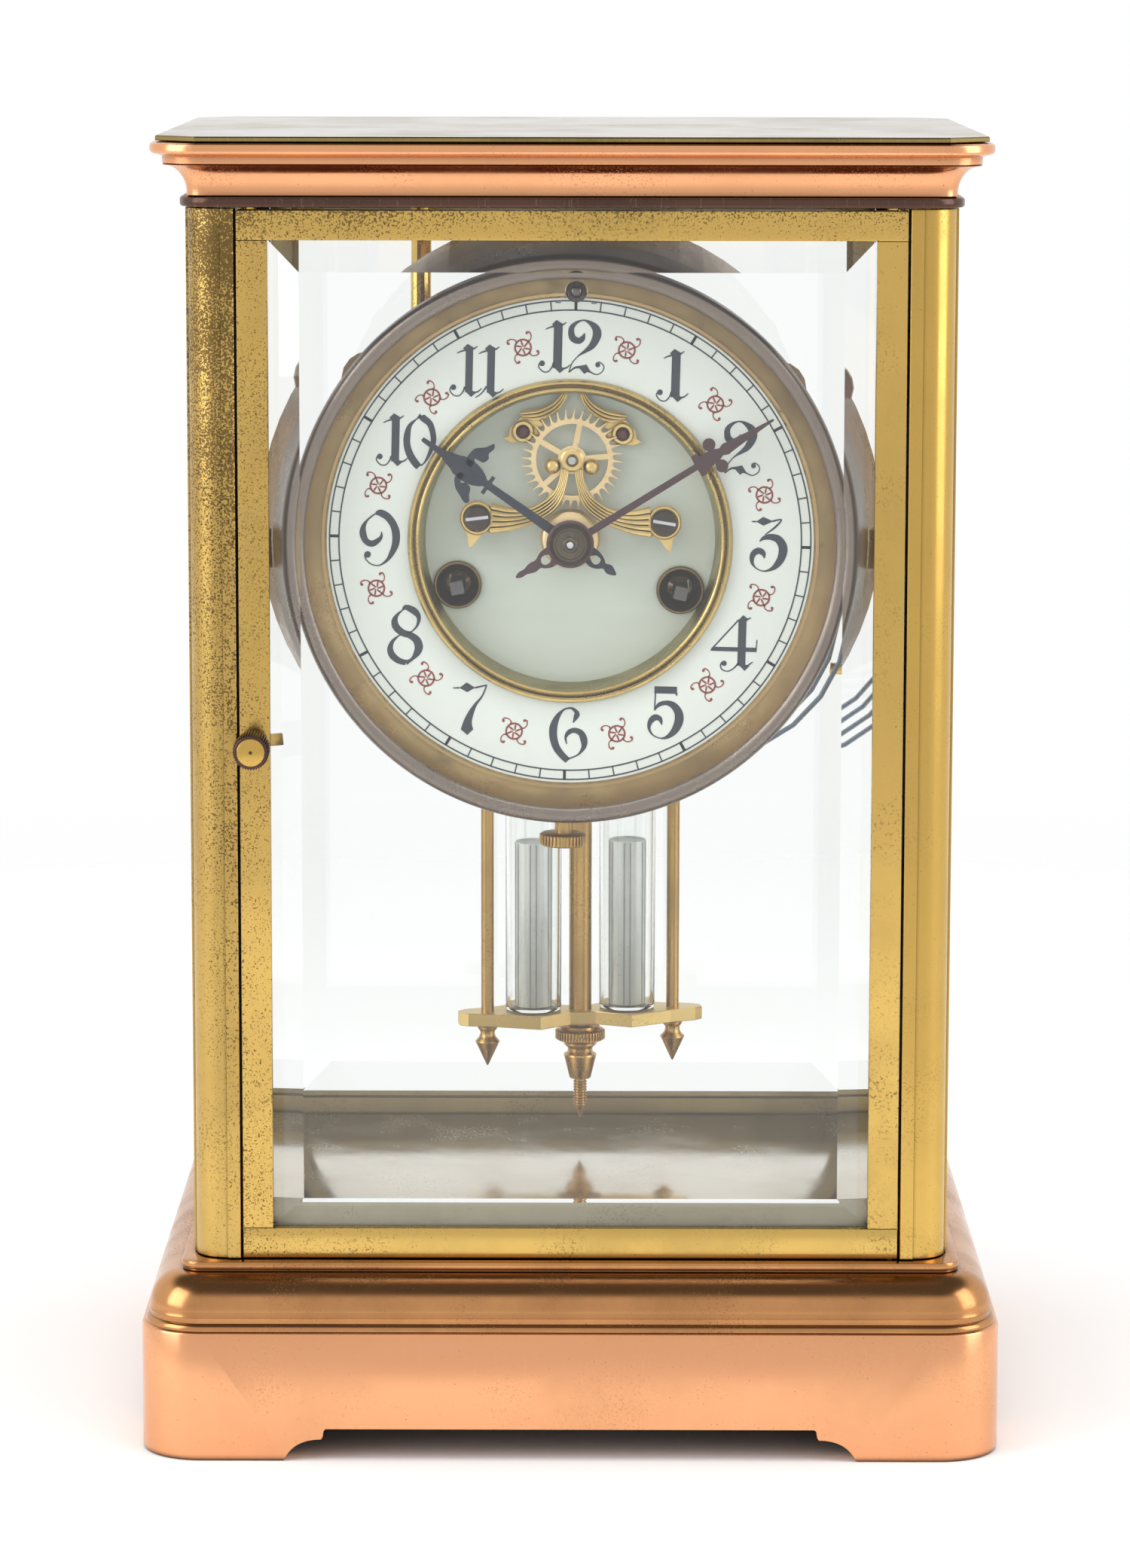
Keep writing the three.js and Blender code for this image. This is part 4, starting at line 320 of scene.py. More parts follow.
# The door darkens towards its left side. Its top rail is darkened as painted shade under the cornice.
DOOR_BRASS = metal("door_brass", (0.67, 0.44, 0.125), (0.24, 0.17, 0.06), rough=0.2, cloud=0.22,
                   speck=0.8, scratch=0.1, bump=0.03,
                   darkening_and_shade=(("X", -20, -75, 0.45), ("Z", 244, 256, 0.8)), corner_shade_reach=0.8)
DARK = metal("dark_bronze", (0.10, 0.05, 0.035), (0.03, 0.02, 0.015), rough=0.2, cloud=0.4,
             speck=0.2, scratch=0.3, metallic=0.7)
LID_TOP = metal("brushed_top", (0.87, 0.84, 0.79), (0.58, 0.52, 0.42), rough=0.36, cloud=0.4,
                speck=0.35, scratch=0.6)
LID_EDGE = metal("lid_edge", (0.34, 0.25, 0.09), (0.10, 0.08, 0.04), rough=0.24, cloud=0.5,
                 speck=0.7, scratch=0.3)
BRONZE = metal("bronze_bezel", (0.45, 0.31, 0.145), (0.20, 0.12, 0.07), rough=0.26, cloud=0.35,
               speck=0.2, scratch=0.04, bump=0.02, cloud_scale=30.0)
RIM = metal("greyed_rim", (0.24, 0.195, 0.165), (0.17, 0.13, 0.11), rough=0.26, cloud=0.15,
            speck=0.0, scratch=0.03, bump=0.0)
GILT = metal("matte_gilt", (0.82, 0.60, 0.25), (0.30, 0.19, 0.05), rough=0.3, cloud=0.3,
             speck=0.25, scratch=0.1, bump=0.3, cloud_scale=160.0, corner_shade_reach=0.9)
RING_GILT = metal("gilt_ring", (0.66, 0.48, 0.18), (0.16, 0.1, 0.03), rough=0.2, cloud=0.4,
                  speck=0.7, scratch=0.1, cloud_scale=60.0, corner_shade_reach=1.2)
PALE_GILT = metal("pale_gilt", (0.90, 0.68, 0.38), (0.5, 0.34, 0.14), rough=0.32, cloud=0.25,
                  speck=0.2, scratch=0.05, cloud_scale=90.0)
STEEL = metal("steel", (0.55, 0.54, 0.53), (0.2, 0.18, 0.16), rough=0.22, cloud=0.3, speck=0.3)
# Brass darkened as painted shade, for the hollows of the winding ferrules and the pipe deep behind
# the dial.
SHADE_DARK_BRASS = metal("shade_darkened_brass", (0.24, 0.16, 0.07), (0.06, 0.04, 0.02), rough=0.3, cloud=0.5,
                  speck=0.5, scratch=0.2, cloud_scale=120.0)
BLUED = metal("blued_steel", (0.035, 0.042, 0.06), (0.02, 0.02, 0.025), rough=0.34, cloud=0.3,
              speck=0.1, scratch=0.1, metallic=0.6)
PURPLED = metal("purple_brown_steel", (0.085, 0.045, 0.05), (0.04, 0.02, 0.03), rough=0.32,
                cloud=0.4, speck=0.1, scratch=0.1, metallic=0.6)
BOB_BRASS = metal("pendulum_brass", (0.64, 0.46, 0.17), (0.4, 0.27, 0.1), rough=0.3, cloud=0.4,
                  speck=0.5, scratch=0.05, bump=0.02)
ROD_BRASS = metal("rod_brass", (0.50, 0.31, 0.10), (0.22, 0.14, 0.05), rough=0.26, cloud=0.4,
                  speck=0.4, scratch=0.05, bump=0.02)
PALE_STEEL = metal("pale_cylinder", (0.62, 0.64, 0.61), (0.5, 0.5, 0.46), rough=0.45, cloud=0.3,
                   speck=0.1, scratch=0.02, bump=0.01, metallic=0.5)
SEAM_STEEL = metal("cylinder_seam", (0.28, 0.28, 0.26), (0.2, 0.19, 0.17), rough=0.5, cloud=0.3,
                   scratch=0.0, bump=0.0, metallic=0.5)
SQUARE_STEEL = metal("square_steel", (0.14, 0.13, 0.13), (0.1, 0.09, 0.09), rough=0.3, cloud=0.4,
                     speck=0.3, scratch=0.1, bump=0.02)
DRUM_BRONZE = metal("drum_bronze", (0.34, 0.22, 0.13), (0.16, 0.1, 0.06), rough=0.24, cloud=0.4,
                    speck=0.3, scratch=0.05, bump=0.02)
SHADED_BRASS = metal("shaded_brass", (0.36, 0.28, 0.14), (0.14, 0.1, 0.05), rough=0.3,
                     cloud=0.4, speck=0.5, scratch=0.05, bump=0.02)
WALL_BRASS = metal("recess_wall", (0.42, 0.36, 0.17), (0.1, 0.08, 0.03), rough=0.35, cloud=0.4,
                   speck=0.3, scratch=0.02, bump=0.02, cloud_scale=80.0)
SCREW_STEEL = metal("screw_steel", (0.07, 0.055, 0.045), (0.04, 0.03, 0.03), rough=0.25, cloud=0.4,
                    speck=0.3)
COLLET = metal("olive_collet", (0.11, 0.09, 0.06), (0.06, 0.05, 0.04), rough=0.3, cloud=0.4,
               speck=0.3)
BRIGHT_STEEL = metal("bright_steel", (0.72, 0.72, 0.76), (0.5, 0.5, 0.56), rough=0.35,
                     cloud=0.3, speck=0.1)
SLATE = metal("gong_steel", (0.14, 0.18, 0.23), (0.05, 0.06, 0.08), rough=0.25, cloud=0.3, speck=0.1)
FLOOR_BRASS = metal("polished_floor", (0.62, 0.56, 0.47), (0.5, 0.42, 0.3), rough=0.11, cloud=0.3,
                    speck=0.15, scratch=0.2, bump=0.02)
PORCELAIN = enamel("porcelain", (0.80, 0.86, 0.80), (0.84, 0.88, 0.83))
CENTRE_PORCELAIN = enamel("centre_porcelain", (0.60, 0.66, 0.58), (0.64, 0.69, 0.61))
BLACK_PAINT = enamel("figure_black", (0.022, 0.034, 0.05), (0.03, 0.042, 0.06), rough=0.3)
RED_PAINT = enamel("figure_red", (0.24, 0.03, 0.025), (0.32, 0.06, 0.05), rough=0.3)
# Black that stands in for shade: the plinth's pocket and the strips behind the door gaps.
SHADE_BLACK = enamel("shade_black", (0.012, 0.009, 0.009), (0.03, 0.02, 0.02), rough=0.6)
JEWEL = enamel("jewel", (0.05, 0.008, 0.01), (0.09, 0.015, 0.015), rough=0.06)
GLASS = glass_material("clear_glass", (0.97, 0.99, 0.98))


# Geometry helpers, all in millimetres until the last step

MERGE_MM = 1e-4
ON_AXIS_MM = 1e-6


def finished(name, mesh, material, smooth=True):
    """An object in the scene from a millimetre mesh, with smooth faces and sharp edges."""
    mesh.transform(Matrix.Scale(MM, 4))
    mesh.materials.clear()
    mesh.materials.append(material)
    if smooth:
        mesh.shade_smooth()
        mesh.set_sharp_from_angle(angle=math.radians(SMOOTH_ANGLE_DEG))
    made = bpy.data.objects.new(name, mesh)
    bpy.context.scene.collection.objects.link(made)
    return made


def mesh_from(name, verts, faces, place=LEVEL):
    """A millimetre mesh moved to its place, its doubles merged and its normals outward."""
    mesh = bpy.data.meshes.new(name)
    mesh.from_pydata([tuple(v) for v in verts], [], faces)
    tidy(mesh)
    mesh.transform(place)
    return mesh


def tidy(mesh):
    """Merges the doubles of a millimetre mesh and turns its normals outward."""
    work = bmesh.new()
    work.from_mesh(mesh)
    bmesh.ops.remove_doubles(work, verts=work.verts, dist=MERGE_MM)
    bmesh.ops.recalc_face_normals(work, faces=work.faces)
    work.to_mesh(mesh)
    work.free()


def merged(name, meshes):
    """One millimetre mesh from several, which are removed."""
    work = bmesh.new()
    for mesh in meshes:
        work.from_mesh(mesh)
        bpy.data.meshes.remove(mesh)
    mesh = bpy.data.meshes.new(name)
    work.to_mesh(mesh)
    work.free()
    return mesh


def lathe_mesh(profile, sides=96, place=LEVEL, axis="Y"):
    """A turned mesh from (radius, height) points; it closes on the axis or on itself."""
    closed = profile[0][0] > ON_AXIS_MM or profile[-1][0] > ON_AXIS_MM
    verts, faces = [], []
    for i in range(sides):
        angle = 2 * math.pi * i / sides
        for radius, height in profile:
            x, z = radius * math.cos(angle), radius * math.sin(angle)
            verts.append((x, height, z) if axis == "Y" else (x, z, height))
    count = len(profile)
    last = count if closed else count - 1
    for i in range(sides):
        for k in range(last):
            a = i * count + k
            b = i * count + (k + 1) % count
            c = ((i + 1) % sides) * count + (k + 1) % count
            d = ((i + 1) % sides) * count + k
            faces.append((a, b, c, d))
    return mesh_from("lathe", verts, faces, place)


def loft_mesh(rings, place=LEVEL):
    """A closed mesh through rings of equally many points."""
    count = len(rings[0])
    verts = [v for ring in rings for v in ring]
    faces = []
    for level in range(len(rings) - 1):
        for i in range(count):
            a = level * count + i
            b = level * count + (i + 1) % count
            faces.append((a, b, b + count, a + count))
    faces.append(tuple(range(count - 1, -1, -1)))
    top = (len(rings) - 1) * count
    faces.append(tuple(range(top, top + count)))
    return mesh_from("loft", verts, faces, place)


def outline(half_x, half_y, radius, steps=14):
    """A rectangle with rounded corners, counter-clockwise."""
    points = []
    for quarter, (sx, sy) in enumerate(((1, -1), (1, 1), (-1, 1), (-1, -1))):
        for i in range(steps + 1):
            angle = (quarter - 1 + i / steps) * math.pi / 2
            points.append((sx * (half_x - radius) + radius * math.cos(angle),
                           sy * (half_y - radius) + radius * math.sin(angle)))
    return points


def moulded(half_x, half_y, radius, profile, steps=14):
    """A moulding: rings of the outline inset by each profile point (inset, z)."""
    return loft_mesh([[(x, y, z) for x, y in outline(half_x - inset, half_y - inset,
                                                     max(radius - inset, 0.3), steps)]
                      for inset, z in profile])


def arc(cx, cz, radius, start, end, steps):
    """Points of an arc in degrees, as (inset, z) or (x, z) pairs."""
    return [(cx + radius * math.cos(math.radians(start + (end - start) * i / steps)),
             cz + radius * math.sin(math.radians(start + (end - start) * i / steps)))
            for i in range(steps + 1)]


def flat_mesh(loops, y0, y1, bevel=0.0, place=LEVEL, resolution=2):
    """A plate in the XZ plane between y0 and y1, from outlines and holes, its edges rounded."""
    curve = bpy.data.curves.new("plate", "CURVE")
    curve.dimensions = "2D"
    curve.fill_mode = "BOTH"
    curve.extrude = (y1 - y0) / 2 - bevel
    curve.bevel_depth = bevel
    curve.bevel_resolution = resolution
    curve.offset = -bevel
    for loop in loops:
        spline = curve.splines.new("POLY")
        spline.points.add(len(loop) - 1)
        for point, (x, z) in zip(spline.points, loop):
            point.co = (x, z, 0, 1)
        spline.use_cyclic_u = True
    holder = bpy.data.objects.new("plate", curve)
    bpy.context.scene.collection.objects.link(holder)
    graph = bpy.context.evaluated_depsgraph_get()
    mesh = bpy.data.meshes.new_from_object(holder.evaluated_get(graph))
    bpy.data.objects.remove(holder)
    bpy.data.curves.remove(curve)
    tidy(mesh)
    mesh.transform(place @ Matrix.Translation((0, (y0 + y1) / 2, 0))
                   @ Matrix.Rotation(math.pi / 2, 4, "X"))
    return mesh


def circle(radius, cx=0.0, cz=0.0, steps=48):
    """A circle as (x, z) points."""
    return [(cx + radius * math.cos(2 * math.pi * i / steps),
             cz + radius * math.sin(2 * math.pi * i / steps)) for i in range(steps)]


def smooth_line(points, steps=8, closed=False):
    """A Catmull-Rom line through points of any dimension."""
    size = len(points)
    line = []
    segments = size if closed else size - 1
    for i in range(segments):
        if closed:
            p = [points[(i + k) % size] for k in (-1, 0, 1, 2)]
        else:
            p = [points[min(max(i + k, 0), size - 1)] for k in (-1, 0, 1, 2)]
        for j in range(steps):
            t = j / steps
            line.append(tuple(
                0.5 * (2 * b + (c - a) * t + (2 * a - 5 * b + 4 * c - d) * t * t
                       + (3 * b - a - 3 * c + d) * t ** 3)
                for a, b, c, d in zip(*p)))
    if not closed:
        line.append(tuple(points[-1]))
    return line


def ribbon_mesh(points, y0, y1, place=LEVEL, steps=8):
    """A thin stroke in the XZ plane through (x, z, width) points."""
    line = smooth_line(points, steps)
    left, right = [], []
    for i, (x, z, width) in enumerate(line):
        ax, az = line[max(i - 1, 0)][:2]
        bx, bz = line[min(i + 1, len(line) - 1)][:2]
        length = math.hypot(bx - ax, bz - az) or 1.0
        nx, nz = -(bz - az) / length, (bx - ax) / length
        left.append((x + nx * width / 2, z + nz * width / 2))
        right.append((x - nx * width / 2, z - nz * width / 2))
    verts, faces = [], []
    for (lx, lz), (rx, rz) in zip(left, right):
        verts += [(lx, y0, lz), (rx, y0, rz), (rx, y1, rz), (lx, y1, lz)]
    for i in range(len(line) - 1):
        a = 4 * i
        for k in range(4):
            faces.append((a + k, a + (k + 1) % 4, a + 4 + (k + 1) % 4, a + 4 + k))
    end = 4 * (len(line) - 1)
    faces += [(0, 1, 2, 3), (end, end + 1, end + 2, end + 3)]
    return mesh_from("ribbon", verts, faces, place)


def tube_mesh(points, radii, sides):
    """A round bar along 3-D points, with a radius for each point."""
    rings = []
    path = [Vector(p) for p in points]
    side = None
    for i, point in enumerate(path):
        ahead = (path[min(i + 1, len(path) - 1)] - path[max(i - 1, 0)]).normalized()
        if side is None:
            side = ahead.orthogonal().normalized()
        side = (side - ahead * side.dot(ahead)).normalized()
        up = ahead.cross(side)
        rings.append([tuple(point + (side * math.cos(t) + up * math.sin(t)) * radii[i])
                      for t in (2 * math.pi * k / sides for k in range(sides))])
    return loft_mesh(rings)


def cylinder_mesh(radius, low, high, sides=32, centre=(0, 0), axis="Y", chamfer=0.0, place=LEVEL):
    """A round bar along Y or Z with chamfered ends; centre is (x, z) or (x, y)."""
    profile = [(0, low), (radius - chamfer, low), (radius, low + chamfer),
               (radius, high - chamfer), (radius - chamfer, high), (0, high)]
    shift = (centre[0], 0, centre[1]) if axis == "Y" else (centre[0], centre[1], 0)
    return lathe_mesh(profile, sides, place @ Matrix.Translation(shift), axis)


def box_mesh(low, high, bevel=0.0, place=LEVEL):
    """A box between two corners with rounded edges."""
    work = bmesh.new()
    bmesh.ops.create_cube(work, size=1.0)
    centre = [(a + b) / 2 for a, b in zip(low, high)]
    size = [b - a for a, b in zip(low, high)]
    for v in work.verts:
        v.co = Vector(c + s * x for c, s, x in zip(centre, size, v.co))
    if bevel:
        bmesh.ops.bevel(work, geom=work.edges[:], offset=bevel, segments=2, affect="EDGES",
                        profile=0.5)
    mesh = bpy.data.meshes.new("box")
    work.to_mesh(mesh)
    work.free()
    mesh.transform(place)
    return mesh


def carve(mesh, cutters):
    """The millimetre mesh less its cutters, by exact booleans."""
    body = bpy.data.objects.new("body", mesh)
    scene = bpy.context.scene.collection.objects
    scene.link(body)
    tools = []
    for cutter in cutters:
        tool = bpy.data.objects.new("tool", cutter)
        scene.link(tool)
        tools.append(tool)
        step = body.modifiers.new("cut", "BOOLEAN")
        step.operation = "DIFFERENCE"
        step.solver = "EXACT"
        step.object = tool
    graph = bpy.context.evaluated_depsgraph_get()
    result = bpy.data.meshes.new_from_object(body.evaluated_get(graph))
    for thing in [body, *tools]:
        data = thing.data
        bpy.data.objects.remove(thing)
        bpy.data.meshes.remove(data)
    return result


# Repeats round an axis, by geometry nodes

def make_ring_of():
    """A node tree that sets copies of a mesh round the Y axis and turns each to its place."""
    tree, given, result = new_group("RingOf", [
        ("Geometry", "NodeSocketGeometry", None),
        ("Count", "NodeSocketInt", None),
        ("Radius", FLOAT, None),
        ("Phase", FLOAT, None),
        ("Material", "NodeSocketMaterial", None),
    ], [("Geometry", "NodeSocketGeometry")], "GeometryNodeTree")
    index = tree.nodes.new("GeometryNodeInputIndex").outputs[0]
    share = math_node(tree, "DIVIDE", math_node(tree, "MULTIPLY", index, 2 * math.pi),
                      given["Count"])
    turn = math_node(tree, "ADD", share, given["Phase"])
    across, up = (math_node(tree, "MULTIPLY", math_node(tree, wave, turn), given["Radius"])
                  for wave in ("SINE", "COSINE"))
    place = node(tree, "ShaderNodeCombineXYZ", {"X": across, "Z": up})
    angles = node(tree, "ShaderNodeCombineXYZ", {"Y": turn})
    points = node(tree, "GeometryNodePoints", {"Count": given["Count"],
                                               "Position": place.outputs[0]})
    copies = node(tree, "GeometryNodeInstanceOnPoints", {
        "Points": points.outputs[0], "Instance": given["Geometry"],
        "Rotation": angles.outputs[0]})
    real = node(tree, "GeometryNodeRealizeInstances", {0: copies.outputs[0]})
    paint = node(tree, "GeometryNodeSetMaterial", {"Geometry": real.outputs[0],
                                                   "Material": given["Material"]})
    tree.links.new(paint.outputs[0], result[0])
    return tree


RING_OF = make_ring_of()


def ring_mesh(unit, count, radius, material, phase_deg=0.0):
    """Copies of a millimetre mesh round the Y axis, as one plain mesh."""
    holder = bpy.data.objects.new("unit", unit)
    bpy.context.scene.collection.objects.link(holder)
    step = holder.modifiers.new("ring", "NODES")
    step.node_group = RING_OF
    values = {"Count": count, "Radius": radius, "Phase": math.radians(phase_deg),
              "Material": material}
    for item in RING_OF.interface.items_tree:
        if item.in_out == "INPUT" and item.name in values:
            step[item.identifier] = values[item.name]
    graph = bpy.context.evaluated_depsgraph_get()
    mesh = bpy.data.meshes.new_from_object(holder.evaluated_get(graph))
    bpy.data.objects.remove(holder)
    bpy.data.meshes.remove(unit)
    return mesh


def dress(made, body, stands_for=()):
    """Hangs a piece on a CAD body, in place of the CAD nodes it stands for."""
    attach(made, body)
    if stands_for:
        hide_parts(*stands_for)


def piece(name, mesh, material, body, stands_for=(), smooth=True):
    """A finished object from a millimetre mesh, hung on its CAD body."""
    dress(finished(name, mesh, material, smooth), body, stands_for)


# Plinth

WIDTH = 175
DEPTH = 146
PLINTH_CORNER = 12.5
PLINTH_WALL = 5
POCKET_TOP = 30
ARCH_TOP = 6.7
ARCH_HALF = 50
ARCH_STEP = (0.5, 2.15)
FOOT_CURVE = 7.7
BEYOND = 5
# Above this height the copper gets a darker copy, as painted shade
OVOLO_FOOT = 26.7
# Where the front door's pins stand, as (x, y); the back door's are half a turn from them
DOOR_PIN = (65.1, -61)

# The plinth's outline from the floor up, as (inset, height) points
PLINTH_PROFILE = [
    (0.7, 0), (0.2, 0.25), (0, 0.8), (0, 26.1), (0.15, 26.45), (0.5, 26.62), (0.75, 26.75),
    (0.72, 27.1), (0.95, 27.75), (1.3, 28.05), (1.62, 28.2), (1.6, 29.2), (1.45, 29.45),
    *[(1.6 + 7 * (1 - math.cos(math.radians(a))), 29.9 + 7.6 * math.sin(math.radians(a)))
      for a in range(0, 91, 6)],
    (8.65, 37.75), (8.3, 37.95), (8.2, 38.4), (8.2, 39.1), (8.35, 39.35), (8.7, 39.45)]


def pin_holes(low, high):
    """Cutters for the pins of both doors between two heights."""
    return [cylinder_mesh(1.0, low, high, 16, (turn * DOOR_PIN[0], turn * DOOR_PIN[1]), "Z")
            for turn in (1, -1)]


def arch_loop(half):
    """The opening between two feet: flat top, a step and a curve down each foot."""
    step_x, step_z = half + ARCH_STEP[0], ARCH_TOP - ARCH_STEP[1]
    foot = step_x + FOOT_CURVE
    control = foot - FOOT_CURVE / 4
    side = [(half - 0.4, ARCH_TOP), (half, ARCH_TOP - 0.4), (half + 0.15, step_z + 0.6),
            (step_x, step_z)]
    for i in range(1, 9):
        t = i / 8
        side.append(((1 - t) ** 2 * step_x + 2 * t * (1 - t) * control + t * t * foot,
                     (1 - t) ** 2 * step_z + 2 * t * (1 - t) * step_z))
    side.append((foot, -BEYOND))
    return [(-x, z) for x, z in reversed(side)] + side


def make_plinth():
    """The hollow plinth with its arches. Its upper mouldings are darker and its pocket is black, both
    as painted shade.
    """
    body = moulded(WIDTH / 2, DEPTH / 2, PLINTH_CORNER, PLINTH_PROFILE, steps=16)
    wall = PLINTH_WALL
    pocket = loft_mesh([[(x, y, z) for x, y in outline(WIDTH / 2 - wall, DEPTH / 2 - wall,
                                                       PLINTH_CORNER - wall, 6)]
                        for z in (-BEYOND, POCKET_TOP)])
    front = flat_mesh([arch_loop(ARCH_HALF)], -WIDTH, WIDTH)
    side_half = ARCH_HALF - (WIDTH - DEPTH) / 2
    side = flat_mesh([arch_loop(side_half)], -WIDTH, WIDTH,
                     place=Matrix.Rotation(math.pi / 2, 4, "Z"))
    made = finished("plinth_shell", carve(body, [pocket, front, side, *pin_holes(38, 45)]),
                    COPPER)
    # Painted shade: darker copper above the ovolo's foot, and black on the pocket's inner faces.
    shaded_upper, dark = 1, 2
    made.data.materials.append(SHADED_COPPER)
    made.data.materials.append(SHADE_BLACK)
    slack = 1.001
    inside = Vector((WIDTH / 2 - wall, DEPTH / 2 - wall, POCKET_TOP)) * MM
    for face in made.data.polygons:
        place = face.center
        if all(abs(value) < limit * slack for value, limit in zip(place, inside)):
            face.material_index = dark
        elif place.z > OVOLO_FOOT * MM:
            face.material_index = shaded_upper
    dress(made, "case", ["plinth"])


# Cornice and lid

CORNICE_HALF = (83.8, 69.25)
CORNICE_CORNER = 11
CORNICE_WALL = 12
CORNICE_HOLLOW_Z = (250, 262.66)
LID_INSET = 1.2
LID_CUT = 8.3
HEAD_HALF = (78.1, 63.6)
HEAD_CORNER = 8

# The cornice's outline from its foot up, as (inset, height) points
CORNICE_PROFILE = [
    (7.3, 255.24), (7.28, 255.6),
    *[(2.6 + 4.7 * math.cos(math.radians(a)), 255.7 + 5.5 * math.sin(math.radians(a)))
      for a in range(6, 91, 6)],
    (2.45, 261.3), (2.7, 261.42), (2.5, 261.6), (2.4, 262.9), (2.2, 263.1), (1.6, 263.25),
    (0.9, 263.4), (0.3, 263.65), (0, 264.1), (0, 265.0), (0.15, 265.4), (0.6, 265.66)]


def cut_corner(half_x, half_y, cut):
    """A rectangle with its corners cut off."""
    return [(half_x, cut - half_y), (half_x, half_y - cut), (half_x - cut, half_y),
            (cut - half_x, half_y), (-half_x, half_y - cut), (-half_x, cut - half_y),
            (cut - half_x, -half_y), (half_x - cut, -half_y)]


def make_cornice():
    """The hollow cornice, the lid on top of it and the dark moulding under it."""
    body = moulded(*CORNICE_HALF, CORNICE_CORNER, CORNICE_PROFILE, steps=16)
    reach_x, reach_y = CORNICE_HALF[0] - CORNICE_WALL, CORNICE_HALF[1] - CORNICE_WALL
    hollow = box_mesh((-reach_x, -reach_y, CORNICE_HOLLOW_Z[0]),
                      (reach_x, reach_y, CORNICE_HOLLOW_Z[1]))
    made = finished("cornice_moulding", carve(body, [hollow]), COPPER)
    dress(made, "case", ["cornice"])

    half_x, half_y = CORNICE_HALF[0] - LID_INSET, CORNICE_HALF[1] - LID_INSET
    rings = []
    for inset, z in ((0.12, 265.97), (0, 266.1), (0, 266.75), (0.25, 267.0)):
        rings.append([(x, y, z) for x, y in cut_corner(half_x - inset, half_y - inset,
                                                       LID_CUT - 0.6 * inset)])
    lid = finished("lid_sheet", loft_mesh(rings), LID_EDGE, smooth=False)
    lid.data.materials.append(LID_TOP)
    upward = 0.9
    for face in lid.data.polygons:
        if face.normal.z > upward:
            face.material_index = 1
    dress(lid, "case", ["lid_plate"])

    head = moulded(*HEAD_HALF, HEAD_CORNER,
                   [(0.55, 252.93), (0.2, 253.05), (0, 253.4), (0, 254.45), (0.2, 254.8),
                    (0.55, 254.94)], steps=12)
    made = finished("head_moulding", carve(head, pin_holes(250, 254.6)), DARK)
    dress(made, "case", ["head_plate"])


# Corner posts

POST_OUTER = (77.05, 62.5)
POST_SIZE = 9.15
POST_ROUND = 7
POST_STRIP = 2.7
POST_Z = (39.75, 252.63)
# How much nearer to the door the strip beside it comes
DOOR_STRIP = 0.75
# A black strip behind the gap beside each door: painted shade in the gap
GAP_SHADE_X = (66.85, 69)
GAP_SHADE_Y = (58.4, 59.9)


def make_posts():
    """Quarter-round posts with a fine groove and a flat strip on each of two faces."""
    ox, oy = POST_OUTER
    centre = (ox - POST_ROUND, oy - POST_ROUND)
    round_part = arc(*centre, POST_ROUND - 0.5, 0, 90, 16)
    for front, side in ((-1, -1), (-1, 1), (1, -1), (1, 1)):
        label = f"post_{'front' if front < 0 else 'back'}_{'left' if side < 0 else 'right'}"
        inner = ox - POST_SIZE - (0 if label == "post_back_left" else DOOR_STRIP)
        section = [(inner, oy - POST_STRIP), (ox - POST_STRIP, oy - POST_SIZE),
                   (ox - 0.15, oy - POST_SIZE), (ox, oy - POST_SIZE + 0.15),
                   (ox, centre[1] - 0.3), (ox - 0.45, centre[1] - 0.2), *round_part,
                   (centre[0] - 0.2, oy - 0.45), (centre[0] - 0.3, oy),
                   (inner + 0.15, oy), (inner, oy - 0.15)]
        rings = [[(side * x, front * y, z) for x, y in section] for z in POST_Z]
        finish = SPECKLED_BRASS if label == "post_front_left" else BRASS
        made = finished("strip_" + label, loft_mesh(rings), finish)
        dress(made, "case", [label])
        x0, x1 = sorted(side * x for x in GAP_SHADE_X)
        y0, y1 = sorted(front * y for y in GAP_SHADE_Y)
        # Painted shade: a black strip behind the door's gap.
        gap_shade_strip = box_mesh((x0, y0, POST_Z[0]), (x1, y1, POST_Z[1]))
        piece("door_gap_shade_" + label, gap_shade_strip, SHADE_BLACK, "case")


# Front door frame: two long stiles between butted rails

DOOR_HALF = 66.6
DOOR_Z = (39.75, 252.33)
DOOR_FACE = -62.2
DOOR_THICK = 5.5
STILE = 6.1
RAILS = (6.15, 5.9)
REBATE = 1.3
LIP = 2.7
SEAM = 0.09
BEAD_TOP = 51.3


def frame_bars(half, low, high, rails, face):
    """The four bars of a glazed frame as millimetre meshes, with hair-thin seams between them."""
    back = face + DOOR_THICK
    stile_low, stile_high = low + rails[0] + SEAM, high - rails[1] - SEAM
    inner = half - STILE
    bars = []
    for side in (-1, 1):
        x0, x1 = sorted((side * half, side * inner))
        r0, r1 = sorted((side * half, side * (inner + REBATE)))
        bars.append(box_mesh((x0, face, stile_low), (x1, face + LIP, stile_high), 0.12))
        bars.append(box_mesh((r0, face + LIP - 0.2, stile_low), (r1, back, stile_high), 0.12))
    for z0, z1, z2, z3 in ((low, low + rails[0], low, low + rails[0] - REBATE),
                           (high - rails[1], high, high - rails[1] + REBATE, high)):
        bars.append(box_mesh((-half, face, z0), (half, face + LIP, z1), 0.12))
        bars.append(box_mesh((-half, face + LIP - 0.2, z2), (half, back, z3), 0.12))
    return bars


